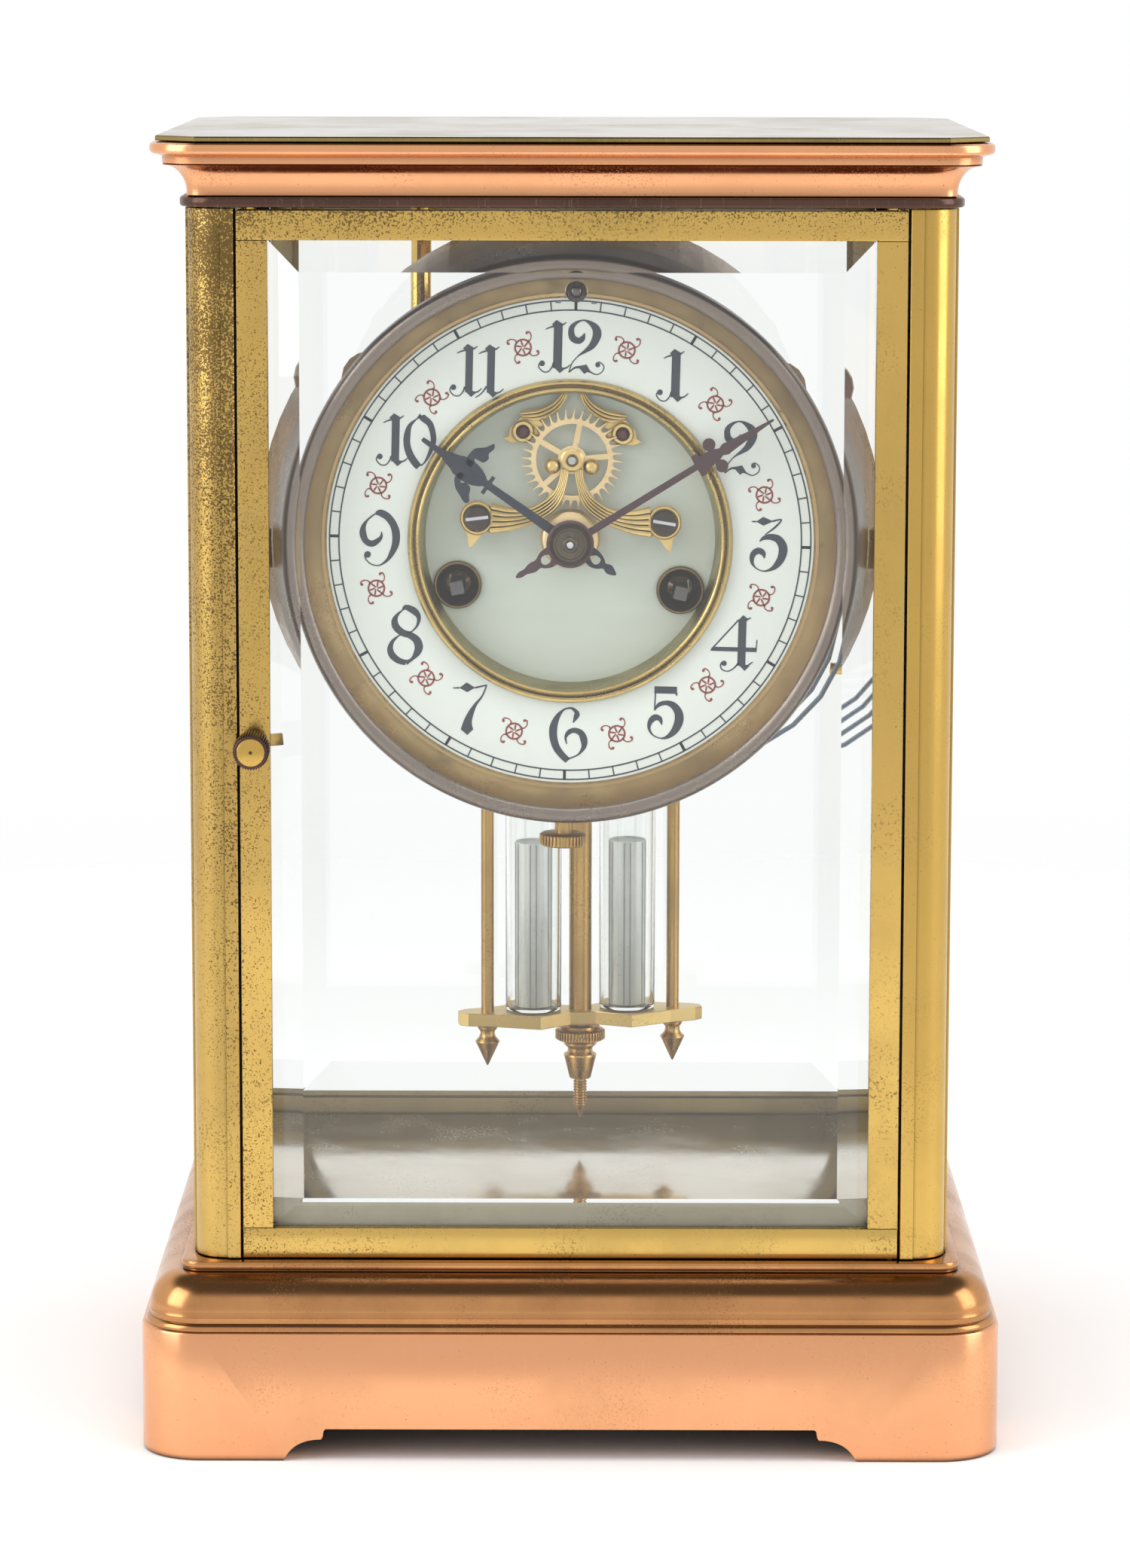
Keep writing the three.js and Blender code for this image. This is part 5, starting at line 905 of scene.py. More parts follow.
def make_front_door():
    """The front door's frame on its two pins, and the bead at the foot of its glass."""
    bars = frame_bars(DOOR_HALF, *DOOR_Z, RAILS, DOOR_FACE)
    pins = [cylinder_mesh(0.7, low, high, 16, DOOR_PIN, "Z")
            for low, high in ((38.2, 40.5), (252, 254.1))]
    made = finished("front_door_bars", merged("bars", bars + pins), DOOR_BRASS)
    dress(made, "front_door", ["front_door_frame"])
    back = span("front_door_glass")[1].y
    bead = box_mesh((STILE - DOOR_HALF, back + 0.1, DOOR_Z[0] + RAILS[0] - REBATE - 0.3),
                    (DOOR_HALF - STILE, back + 0.6, BEAD_TOP), 0.1)
    piece("glazing_bead", bead, BEAD_BRASS, "front_door")


make_plinth()
make_cornice()
make_posts()
make_front_door()
# Dial: bezel, rings and centre

CHAPTER_FACE = -46.0
PAINT = (CHAPTER_FACE - 0.06, CHAPTER_FACE + 0.04)
CENTRE_FACE = -39.6
FIGURE_RADIUS = 39.2
TRACK_RADII = (46.8, 48.7)
TRACK_MIDDLE = 47.75
ROSETTE_RADIUS = 40.4
HOURS = 12
MINUTES = 60
PLATE_EDGE = 0.08
# How much wider the paint is than the drawn strokes: a share and a rest
PAINT_SPREAD = (1.08, 0.08)

# What comes through the dial, measured on its own axes from its centre
WINDING_X, WINDING_Z = 22.7, -10
ESCAPE_Z = 16.27
ANCHOR_Z = 38
REGULATOR_Z = 50.6
REGULATOR_BORE = 2.3


def regulator_bore():
    """The cutter for the regulator's hole."""
    return cylinder_mesh(REGULATOR_BORE, -60, -40, 32, (0, REGULATOR_Z))


def make_bezel():
    """The inner slope and the rim of the bezel, bored for the regulator square."""
    slope = [(49.3, -42.5), (49.3, -46.3), (49.7, -46.9), (50.3, -47.1), (53.0, -51.5),
             (53.5, -52.1), (54.1, -52.2), (54.1, -42.5)]
    rim = [(53.45, -42.5), (53.45, -52.6), (53.7, -53.4), (54.3, -53.9), (55.0, -54.0),
           (55.8, -53.8), (56.4, -53.2), (56.65, -52.4), (56.7, -51.4), (56.7, -42.5)]
    for name, profile, material in (("bezel_slope", slope, BRONZE), ("bezel_rim", rim, RIM)):
        mesh = carve(lathe_mesh(profile, 180), [regulator_bore()])
        mesh.transform(DIAL)
        piece(name, mesh, material, "case", ["bezel"])


def make_dial_ring():
    """The white ring, its gilt inner ring and the recessed centre."""
    ring = [(31.2, -44.5), (31.2, CHAPTER_FACE), (49.9, CHAPTER_FACE), (49.9, -44.5)]
    plate = carve(lathe_mesh(ring, 180), [regulator_bore()])
    plate.transform(DIAL)
    piece("white_ring", plate, PORCELAIN, "case", ["chapter_ring"])
    wall = lathe_mesh([(29.5, -39.7), (30.42, -46.6), (31.0, -46.6), (31.0, -39.7)], 160)
    wall = carve(wall, [box_mesh((-8, -41.6, 0), (8, -39, 42))])
    wall.transform(DIAL)
    piece("recess_wall", wall, WALL_BRASS, "case", ["gilt_ring"])
    moulding = [(30.6, -45.9), (30.5, -46.7), (30.65, -47.05), (30.95, -47.2), (31.25, -47.05),
                (31.36, -46.3), (31.62, -46.3), (31.75, -47.35), (32.1, -47.7), (32.5, -47.6),
                (32.8, -47.1), (32.95, -46.1), (32.0, -45.9)]
    piece("gilt_inner_ring", lathe_mesh(moulding, 160, DIAL), RING_GILT, "case", ["gilt_ring"])
    holes = [circle(3.75, side * WINDING_X, WINDING_Z) for side in (-1, 1)]
    holes += [circle(3.2), circle(1.3, 0, ESCAPE_Z), circle(1.3, 0, ANCHOR_Z)]
    centre = flat_mesh([circle(42, steps=120), *holes], CENTRE_FACE, CENTRE_FACE + 1.2,
                       PLATE_EDGE, DIAL)
    piece("white_centre", centre, CENTRE_PORCELAIN, "case", ["centre_disc"])
    for side, name in ((-1, "left_ferrule"), (1, "right_ferrule")):
        profile = [(2.5, -35.0), (2.6, -37.5), (3.4, -39.4), (4.0, -40.3), (4.35, -40.9),
                   (4.65, -40.9), (4.9, -40.5), (4.9, -39.5), (3.7, -39.3), (3.7, -35.0)]
        place = DIAL @ Matrix.Translation((side * WINDING_X, 0, WINDING_Z))
        piece(name, lathe_mesh(profile, 48, place), SHADE_DARK_BRASS, "case", ["centre_disc"])
    boss = [(3.25, -39.5), (3.25, -42.0), (5.0, -42.0), (5.6, -41.7), (6.0, -41.0),
            (6.1, -39.5)]
    piece("centre_boss", lathe_mesh(boss, 64, DIAL), PALE_GILT, "case", ["centre_disc"])


# Dial: figures, as strokes (x, z, width) about each hour's place, upright

def one(x, width=1.55, tail="ball"):
    """An upright stroke with a pointed cap, a broken foot and thin serifs."""
    lines = [[(x, 4.8, width), (x, 0, width), (x, -4.2, width)],
             [(x - 0.7, 4.3, 0.3), (x - 1.7, 4.0, 0.2), (x - 2.5, 3.6, 0.12)],
             [(x + 0.8, 4.5, 0.25), (x + 1.6, 5.1, 0.12)],
             [(x + 1.2, -4.2, 0.25), (x + 1.9, -4.0, 0.2), (x + 2.6, -3.35, 0.12)]]
    patches = [[(x - 0.4, 5.55), (x - 1.35, 4.6), (x, 3.9), (x + 1.05, 4.7)],
               [(x - 0.65, -4.05), (x + 0.1, -3.6), (x + 1.6, -4.2), (x + 0.5, -5.15)]]
    balls = []
    if tail == "ball":
        lines.append([(x - 0.8, -3.1, 0.3), (x - 1.1, -4.0, 0.2), (x - 1.85, -4.9, 0.16),
                      (x - 2.9, -4.9, 0.16), (x - 3.75, -4.0, 0.16), (x - 3.6, -3.25, 0.2)])
        balls.append((x - 3.1, -3.25, 0.58))
    elif tail == "line":
        lines.append([(x - 0.8, -2.9, 0.3), (x - 1.8, -4.35, 0.18), (x - 3.0, -5.2, 0.14)])
    return lines, patches, balls


def two(x):
    """A hooked two with a diamond in its foot and a curl at its end."""
    lines = [[(1.9, 3.0, 0.12), (1.5, 2.0, 0.9), (0.7, 1.45, 1.1), (-0.4, 1.9, 1.2),
              (-0.8, 2.9, 1.1), (-0.7, 4.1, 0.9), (0.2, 5.1, 0.5), (1.5, 5.6, 0.2),
              (2.7, 5.25, 0.6), (4.0, 4.2, 1.3), (4.4, 3.0, 1.55), (4.1, 1.75, 1.4),
              (3.3, 0.4, 1.1), (2.1, -0.6, 0.6), (0.65, -1.65, 0.16), (-0.5, -3.1, 0.14),
              (-1.1, -4.9, 0.14)],
             [(-1.1, -4.95, 0.14), (0.05, -4.0, 0.3), (1.2, -3.85, 0.5), (2.1, -4.1, 1.2),
              (3.1, -4.7, 0.3), (4.5, -5.25, 0.14), (5.65, -4.6, 0.14), (5.9, -3.55, 0.14),
              (5.05, -2.75, 0.14), (4.3, -3.0, 0.14)]]
    lines = [[(x + px, pz, width) for px, pz, width in line] for line in lines]
    return lines, [[(x + 1.0, -4.1), (x + 2.35, -3.2), (x + 3.1, -4.4), (x + 2.0, -5.2)]], \
        [(x + 4.68, -3.3, 0.5)]


def joined_figures(*figures):
    """Several figures as one."""
    return tuple(sum((list(figure[k]) for figure in figures), []) for k in range(3))


ZERO = ([[(2.4, 4.5, 0.15), (1.05, 3.15, 0.7), (0.55, 1.2, 1.15), (0.55, -0.8, 1.2),
          (1.2, -2.75, 1.3), (2.25, -4.35, 1.3), (3.05, -5.2, 1.2)],
         [(3.4, 5.2, 1.0), (3.7, 4.75, 1.2), (5.05, 3.6, 1.1), (5.7, 1.8, 1.0),
          (5.85, 0.05, 0.95), (5.3, -2.0, 0.7), (4.3, -4.05, 0.3), (3.4, -4.95, 0.15)],
         [(2.4, 4.5, 0.15), (3.3, 5.3, 0.7)]], [], [])
FIGURES = {
    1: one(0.84),
    2: two(-2.0),
    3: ([[(-2.6, 5.0, 0.12), (-1.7, 5.0, 0.25)],
         [(1.6, 5.15, 0.3), (3.4, 5.5, 0.2), (2.1, 3.9, 0.3), (0.2, 2.4, 0.12)],
         [(-0.9, 1.0, 0.12), (0.05, 1.75, 0.7), (1.5, 1.95, 1.1), (3.0, 1.4, 1.4),
          (3.9, -0.25, 1.6), (3.6, -2.3, 1.4), (2.55, -3.9, 1.0), (1.2, -4.8, 0.4),
          (-0.2, -5.0, 0.16), (-1.55, -4.35, 0.2), (-2.3, -3.2, 0.6), (-2.15, -1.7, 1.0),
          (-1.1, -0.9, 1.1), (-0.1, -1.4, 0.9), (0.2, -2.4, 0.12)]],
        [[(-1.7, 5.0), (-0.3, 6.0), (1.8, 5.15), (-0.2, 4.2)]], []),
    4: ([[(1.4, 4.6, 1.45), (1.4, 0, 1.45), (1.4, -4.9, 1.45)],
         [(2.3, 4.6, 0.25), (3.1, 5.0, 0.12)], [(2.7, -4.8, 0.25), (3.7, -4.05, 0.12)],
         [(0.6, 4.5, 0.2), (-2.1, 1.4, 0.2), (-4.8, -1.7, 0.2)],
         [(4.3, -2.0, 0.16), (4.45, 0.5, 0.14)],
         [(0.9, -4.2, 0.3), (-0.1, -5.4, 0.18), (-1.3, -6.05, 0.16), (-2.5, -5.7, 0.16),
          (-2.8, -4.8, 0.18), (-2.5, -4.2, 0.2)]],
        [[(1.5, 5.5), (0.5, 4.3), (1.6, 3.8), (2.7, 4.6)],
         [(0.8, -4.65), (1.4, -4.3), (3.1, -4.9), (2.1, -5.9)],
         [(-5.0, -1.95), (-4.4, -1.1), (4.3, -1.1), (4.3, -2.0)]],
        [(-2.1, -4.45, 0.55)]),
    5: ([[(2.7, 3.6, 0.4), (2.85, 3.0, 0.14)], [(-1.5, 3.5, 0.2), (-1.6, -0.1, 0.18)],
         [(-1.6, 0.0, 0.12), (-0.7, 1.1, 0.7), (0.75, 1.5, 0.8), (2.2, 1.0, 1.2),
          (3.25, -0.4, 1.5), (3.4, -2.15, 1.6), (2.65, -4.05, 1.3), (1.3, -5.4, 0.7),
          (-0.15, -5.8, 0.2), (-1.75, -5.2, 0.2), (-2.6, -3.9, 0.45), (-2.4, -2.45, 0.9),
          (-1.5, -1.55, 1.1), (-0.45, -1.85, 0.8), (-0.05, -3.0, 0.12)]],
        [[(-1.75, 4.85), (2.85, 4.85), (2.85, 3.4), (-1.75, 3.4)]], []),
    6: ([[(1.5, 2.2, 0.1), (2.1, 3.5, 0.9), (2.25, 4.2, 0.8), (1.5, 5.0, 0.5),
          (0.7, 5.2, 0.3), (-0.5, 4.8, 0.3), (-1.7, 3.35, 0.9), (-2.45, 1.3, 1.4),
          (-2.45, -0.75, 1.4), (-1.85, -2.8, 1.3), (-0.7, -4.4, 1.2), (0.6, -5.6, 1.1)],
         [(0.6, -5.4, 0.2), (1.1, -5.1, 0.2), (2.7, -4.3, 0.25), (3.75, -2.8, 0.8),
          (3.8, -1.35, 1.25), (3.15, 0.1, 1.1), (1.8, 0.65, 0.9), (0.65, 0.2, 0.8),
          (0.05, -0.9, 0.4), (0.3, -2.2, 0.12)]], [], []),
    7: ([[(-3.5, 3.5, 0.12), (-2.2, 3.55, 0.25)], [(1.0, 3.65, 0.3), (3.4, 4.25, 0.2)],
         [(3.35, 4.2, 0.2), (2.5, 2.0, 0.25), (1.2, 0.25, 0.5), (0.3, -1.5, 1.0),
          (-0.35, -3.4, 1.5), (-0.45, -5.0, 2.3)]],
        [[(-2.2, 3.55), (-0.7, 4.7), (1.05, 3.65), (-0.55, 2.7)],
         [(-1.75, -4.95), (0.75, -4.95), (-0.35, -6.1)]], []),
    8: ([[(0.3, 4.8, 0.2), (1.0, 5.4, 0.9), (2.65, 4.7, 1.2), (3.6, 3.5, 0.8),
          (3.4, 1.9, 0.4), (2.5, 0.7, 0.2), (1.4, 0.1, 0.16)],
         [(0.3, 4.8, 0.15), (-0.75, 3.8, 0.5), (-1.25, 2.6, 1.1), (-0.9, 1.3, 1.3),
          (0.45, 0.2, 1.2), (1.9, -0.25, 1.2), (3.25, -1.2, 1.4), (3.75, -2.55, 1.5),
          (3.4, -3.85, 1.2), (2.35, -5.2, 0.5), (1.2, -5.9, 0.9)],
         [(1.2, -5.9, 0.9), (-0.3, -5.5, 1.1), (-1.6, -4.45, 1.2), (-2.05, -3.1, 1.0),
          (-1.6, -1.65, 0.6), (-0.45, -0.5, 0.2), (0.4, -0.1, 0.16)]], [], []),
    9: ([[(-0.25, 4.75, 0.5), (0.7, 4.9, 1.2), (2.1, 4.2, 1.3), (3.3, 2.7, 1.3),
          (3.9, 0.95, 1.4), (3.9, -1.1, 1.3), (3.3, -2.9, 1.0), (2.25, -4.65, 0.5),
          (0.65, -5.75, 0.18), (-0.95, -5.55, 0.16), (-2.0, -4.65, 0.16),
          (-2.35, -3.75, 0.2)],
         [(-0.3, 4.75, 0.2), (-1.85, 3.45, 0.3), (-2.65, 2.1, 0.8), (-2.75, 0.65, 1.2),
          (-2.15, -0.8, 1.1), (-0.95, -1.4, 1.1), (0.2, -0.8, 0.9), (0.95, 0.05, 0.5),
          (1.0, 1.1, 0.12)]], [], [(-1.75, -3.6, 0.68)]),
    10: joined_figures(one(-1.8, 1.4), ZERO),
    11: joined_figures(one(-1.6, 1.3), one(2.8, 1.35, "line")),
    12: joined_figures(one(-3.44), two(0.0)),
}


def painted(name, meshes, material):
    """Paint on the white ring, as one piece from several flat meshes."""
    mesh = merged(name, meshes)
    mesh.transform(DIAL)
    piece(name, mesh, material, "case", ["chapter_ring"], smooth=False)


def make_figures():
    """The hour figures, each upright at its place on the ring."""
    spread, rest = PAINT_SPREAD
    for hour, (lines, patches, balls) in FIGURES.items():
        turn = 2 * math.pi * hour / HOURS
        place = Matrix.Translation((FIGURE_RADIUS * math.sin(turn), 0,
                                    FIGURE_RADIUS * math.cos(turn)))
        meshes = [ribbon_mesh([(x, z, width * spread + rest) for x, z, width in line], *PAINT,
                              place) for line in lines]
        meshes += [flat_mesh([patch], *PAINT, 0.0, place) for patch in patches]
        meshes += [flat_mesh([circle(radius, x, z, 20)], *PAINT, 0.0, place)
                   for x, z, radius in balls]
        painted(f"figure_{hour}", meshes, BLACK_PAINT)


def make_minute_track():
    """Two circles with a line for each minute, heavier at the hours."""
    line, reach = 0.15, 0.95
    rings = [lathe_mesh([(radius - line, PAINT[0]), (radius + line, PAINT[0]),
                         (radius + line, PAINT[1]), (radius - line, PAINT[1])], 240)
             for radius in TRACK_RADII]
    for half, count in ((0.14, MINUTES), (0.3, HOURS)):
        stroke = box_mesh((-half, PAINT[0], -reach), (half, PAINT[1], reach))
        rings.append(ring_mesh(stroke, count, TRACK_MIDDLE, BLACK_PAINT))
    rings += [box_mesh((x - 0.55, PAINT[0], 48.15), (x + 0.55, PAINT[1], 48.35))
              for x in (-3.6, 3.6)]
    painted("minute_track", rings, BLACK_PAINT)


def make_rosettes():
    """A small red rosette at each half hour: a swirled ring with four scrolls."""
    meshes = [lathe_mesh([(1.42, PAINT[0]), (1.8, PAINT[0]), (1.8, PAINT[1]),
                          (1.42, PAINT[1])], 36)]
    swirl = ((0.25, 0, 0.2), (0.8, 30, 0.36), (1.5, 34, 0.25))
    scroll = ((1.6, 0, 0.4), (2.2, -6, 0.24), (2.9, 2, 0.24), (3.35, 14, 0.3), (3.1, 22, 0.5),
              (2.8, 20, 0.4))
    for stroke, count, first_deg in ((swirl, 6, 0), (scroll, 4, 40)):
        for i in range(count):
            turn = 360 // count * i + first_deg
            meshes.append(ribbon_mesh([(r * math.cos(math.radians(turn + lean)),
                                        r * math.sin(math.radians(turn + lean)), w)
                                       for r, lean, w in stroke], *PAINT))
    half_hour_deg = 15.0
    mesh = ring_mesh(merged("rosette", meshes), HOURS, ROSETTE_RADIUS, RED_PAINT,
                     half_hour_deg)
    painted("rosettes", [mesh], RED_PAINT)


# Dial: escapement

SCREW_TURN_DEG = 8


def polar(radius, angle_deg):
    """A point clockwise from the top."""
    angle = math.radians(angle_deg)
    return radius * math.sin(angle), radius * math.cos(angle)


def make_escape_wheel():
    """The open wheel with slender leaning teeth and five spokes."""
    teeth, spokes, spoke_width = 36, 5, 1.15
    rim, hub = 7.3, 2.9
    place = DIAL @ Matrix.Translation((0, 0, ESCAPE_Z))
    outer = []
    for i in range(teeth):
        turn = 360 * i / teeth
        outer += [polar(r, turn + lean) for r, lean in
                  ((8.3, -3.4), (8.75, -1.1), (10.2, 0.9), (10.2, 2.0), (8.8, 1.6), (8.3, 3.0))]
    windows = []
    for i in range(spokes):
        start = 11 + 360 * i / spokes
        window = []
        for radius, order in ((rim, range(13)), (hub, range(12, -1, -1))):
            edge = math.degrees(math.asin(spoke_width / 2 / radius))
            sweep = 360 / spokes - 2 * edge
            window += [polar(radius, start + edge + sweep * k / 12) for k in order]
        windows.append(window)
    mesh = flat_mesh([outer, *windows], -42.4, -41.6, 0.06, place, 1)
    hub_ring = lathe_mesh([(0.9, -42.55), (2.2, -42.55), (2.4, -42.4), (2.4, -41.6),
                           (0.9, -41.6)], 48, place)
    arbor = cylinder_mesh(0.9, -44.6, -38, 24, axis="Y", chamfer=0.15, place=place)
    piece("escape_wheel_plate", merged("wheel", [mesh, hub_ring]), PALE_GILT, "escape_wheel",
          ["escape_wheel"])
    piece("escape_arbor", arbor, STEEL, "escape_wheel", ["escape_wheel"])


def make_bridge():
    """The lyre bridge: reeded legs that sweep out to two bosses with leaf tips."""
    back = -43
    meshes = [lathe_mesh([(1.05, back), (1.05, -44.0), (1.35, -44.2), (2.0, -44.2),
                          (2.35, -43.95), (2.35, back)], 48,
                         Matrix.Translation((0, 0, ESCAPE_Z)))]
    for side in (-1, 1):
        leg = [(1.35, 14.4, 1.8), (1.75, 11.9, 1.7), (2.6, 9.3, 2.2), (4.2, 7.1, 3.0),
               (6.9, 5.3, 3.3), (9.8, 4.4, 3.8), (13.0, 4.0, 5.0), (16.2, 4.1, 6.4)]
        path = smooth_line(leg, 6)
        meshes.append(ribbon_mesh([(side * x, z, width) for x, z, width in leg], -43.7, back))
        for share in (-0.38, -0.19, 0, 0.19, 0.38):
            strand = []
            for i, (x, z, width) in enumerate(path):
                ax, az = path[max(i - 1, 0)][:2]
                bx, bz = path[min(i + 1, len(path) - 1)][:2]
                length = math.hypot(bx - ax, bz - az)
                strand.append((side * (x - (bz - az) / length * width * share), -43.72,
                               z + (bx - ax) / length * width * share))
            radii = [0.1 * width for _, _, width in path]
            meshes.append(tube_mesh(strand, radii, 8))
        tip = [(16.3, 1.1), (17.4, 1.4), (18.3, 0.3), (20.3, -1.9), (20.9, 0.6), (21.6, 2.2),
               (18.9, 4.2)]
        meshes.append(flat_mesh([smooth_loop([(side * x, z) for x, z in tip])], -43.8, back,
                                PLATE_EDGE))
        boss = Matrix.Translation((side * 19, 0, 4.1))
        meshes.append(lathe_mesh([(0, back), (0, -43.9), (2.7, -43.9), (2.85, -44.15),
                                  (3.2, -44.15), (3.45, -43.9), (3.5, -43.5), (3.5, back)], 48,
                                 boss))
        ball = Matrix.Translation((side * 3.95, 0, 14.95))
        meshes.append(lathe_mesh([(0, back), (0, -44.3), (0.5, -44.3), (1.1, -44.0),
                                  (1.5, -43.4), (1.6, -42.9)], 32, ball))
        screw = carve(lathe_mesh([(0, back), (0, -45.0), (2.0, -45.0), (2.4, -44.8),
                                  (2.55, -44.4), (2.55, back)], 48, boss),
                      [box_mesh((-3, -46, -0.35), (3, -44.6, 0.35), place=boss
                                @ Matrix.Rotation(math.radians(SCREW_TURN_DEG * side), 4, "Y"))])
        screw.transform(DIAL)
        label = "left" if side < 0 else "right"
        piece(f"bridge_screw_{label}", screw, SCREW_STEEL, "case", ["escape_bridge"])
        # A pale plate at the bottom of each screw's slot: a painted highlight.
        slot_highlight = box_mesh((-2.3, -44.68, -0.33), (2.3, -44.55, 0.33), place=DIAL @ boss
                        @ Matrix.Rotation(math.radians(SCREW_TURN_DEG * side), 4, "Y"))
        piece(f"bridge_slot_highlight_{label}", slot_highlight, BRIGHT_STEEL, "case")
    mesh = merged("bridge", meshes)
    mesh.transform(DIAL)
    piece("lyre_bridge", mesh, GILT, "case", ["escape_bridge"])


def smooth_loop(points, steps=6):
    """A closed smooth line through points."""
    return smooth_line(points, steps, closed=True)


def make_anchor():
    """The pallet anchor: two reeded wings, a boss at each end and a red jewel in each."""
    face, back = -41.1, -40.4
    meshes, jewels = [], []
    for side in (-1, 1):
        wing = [(1.7, 30.6, 1.3), (2.3, 28.6, 1.6), (3.8, 26.8, 2.0), (6.2, 25.4, 2.4),
                (8.6, 24.9, 2.4), (10.5, 24.9, 1.6)]
        meshes.append(ribbon_mesh([(side * x, z, w) for x, z, w in wing], face, back))
        path = smooth_line(wing, 6)
        for share in (-0.34, 0, 0.34):
            meshes.append(tube_mesh([(side * (x + width * share * 0.55), -41.12,
                                      z + width * share * 0.8)
                                     for x, z, width in path],
                                    [0.15 * width for _, _, width in path], 8))
        under = [(10.6, 24.6), (7.4, 24.3), (5.6, 23.2), (7.4, 22.4), (6.7, 21.0), (9.0, 19.4),
                 (12.6, 19.4), (14.2, 20.2), (13.0, 20.7), (12.7, 22.4)]
        meshes.append(flat_mesh([[(side * x, z) for x, z in under]], -41.2, back,
                                PLATE_EDGE))
        boss = Matrix.Translation((side * 10.1, 0, 21.7))
        meshes.append(lathe_mesh([(1.2, -40.5), (1.2, -41.9), (1.45, -42.1), (2.0, -42.0),
                                  (2.25, -41.6), (2.25, -40.5)], 40, boss))
        jewels.append(lathe_mesh([(0, -40.5), (0, -43.0), (0.75, -42.9), (1.15, -42.4),
                                  (1.2, -41.9), (1.2, -40.5)], 32, boss))
    meshes.append(box_mesh((-2.4, face, 29.6), (2.4, back, 31.0), 0.1))
    mesh = merged("anchor", meshes)
    mesh.transform(DIAL)
    piece("anchor_wings", mesh, GILT, "pallets", ["pallet_anchor"])
    stones = merged("stones", jewels)
    stones.transform(DIAL)
    piece("pallet_jewels", stones, JEWEL, "pallets", ["pallet_anchor"])
    stem = cylinder_mesh(0.9, -41.0, -30.5, 24, (0, ANCHOR_Z), place=DIAL)
    neck = flat_mesh([[(-1.6, 30.4), (1.6, 30.4), (1.3, 38.6), (-1.3, 38.6)]], face, back,
                     PLATE_EDGE, DIAL)
    piece("anchor_stem", merged("stem", [stem, neck]), PALE_GILT, "pallets", ["pallet_anchor"])


# Dial: hands, drawn as (along, across) from the centre and turned to their angle

HOUR_HAND_DEG = 303.9
MINUTE_HAND_DEG = 57.0


def hand_place(angle_deg):
    """The place of a hand that points clockwise from the top by an angle."""
    return DIAL @ Matrix.Rotation(math.radians(angle_deg), 4, "Y")


def mirrored(half):
    """A closed outline from one side's (along, across) points."""
    return ([(across, along) for along, across in half]
            + [(-across, along) for along, across in reversed(half)])


def leaf(points):
    """A smooth closed outline from (along, across) points."""
    return smooth_loop([(across, along) for along, across in points], 4)


def make_hour_hand():
    """The hour hand: a blade between two scrolls, a pierced tail and a ring at the centre."""
    front, back = -49.0, -48.5
    body = mirrored([(3.5, 1.0), (19.6, 0.75), (19.9, 0.8), (19.9, 2.05), (20.7, 2.05),
                     (20.7, 0.8), (21.1, 0.75), (21.6, 1.2), (23.0, 1.9), (24.4, 2.25),
                     (26.0, 2.3), (27.7, 2.05), (28.2, 1.7), (30.0, 1.2), (31.4, 0.7),
                     (33.0, 0.6), (36.2, 0.45), (36.5, 0.3)])
    upper = [(26.3, 1.0), (26.95, 2.1), (27.0, 3.2), (26.6, 4.66), (25.1, 5.95),
             (24.1, 7.5), (23.5, 6.7), (23.8, 5.3), (23.25, 4.4), (23.7, 3.2), (24.8, 3.0),
             (25.6, 2.8), (24.9, 2.1), (24.6, 1.0)]
    lower = [(26.5, -1.0), (26.7, -2.4), (26.3, -3.24), (25.3, -4.25), (23.9, -4.9),
             (22.2, -5.6), (21.5, -4.9), (22.3, -3.8), (22.9, -2.5), (24.1, -2.2),
             (24.9, -2.65), (25.3, -2.4), (24.9, -1.0)]
    tail = [(-3.4, 1.6), (-4.9, 2.05), (-6.4, 1.85), (-7.6, 1.3), (-8.3, 0.8), (-9.4, 1.15),
            (-10.5, 0.75), (-11.3, 0.1), (-10.5, -0.5), (-9.4, -0.75), (-8.4, -0.4),
            (-7.3, -1.2), (-6.0, -1.6), (-4.6, -1.4), (-3.4, -1.4)]
    eye = [(-4.9, 0.2), (-5.7, 1.0), (-6.9, 0.9), (-7.1, -0.1), (-6.5, -0.7), (-5.4, -0.4)]
    meshes = [flat_mesh(loops, front, back, PLATE_EDGE)
              for loops in ([body], [leaf(upper)], [leaf(lower)], [leaf(tail), leaf(eye)])]
    meshes.append(lathe_mesh([(2.4, -48.5), (2.4, -49.1), (4.3, -49.1), (4.6, -48.95),
                              (4.6, -48.5)], 64))
    mesh = merged("hour", meshes)
    mesh.transform(hand_place(HOUR_HAND_DEG))
    piece("hour_hand_outline", mesh, BLUED, "hour_hand", ["hour_hand"])


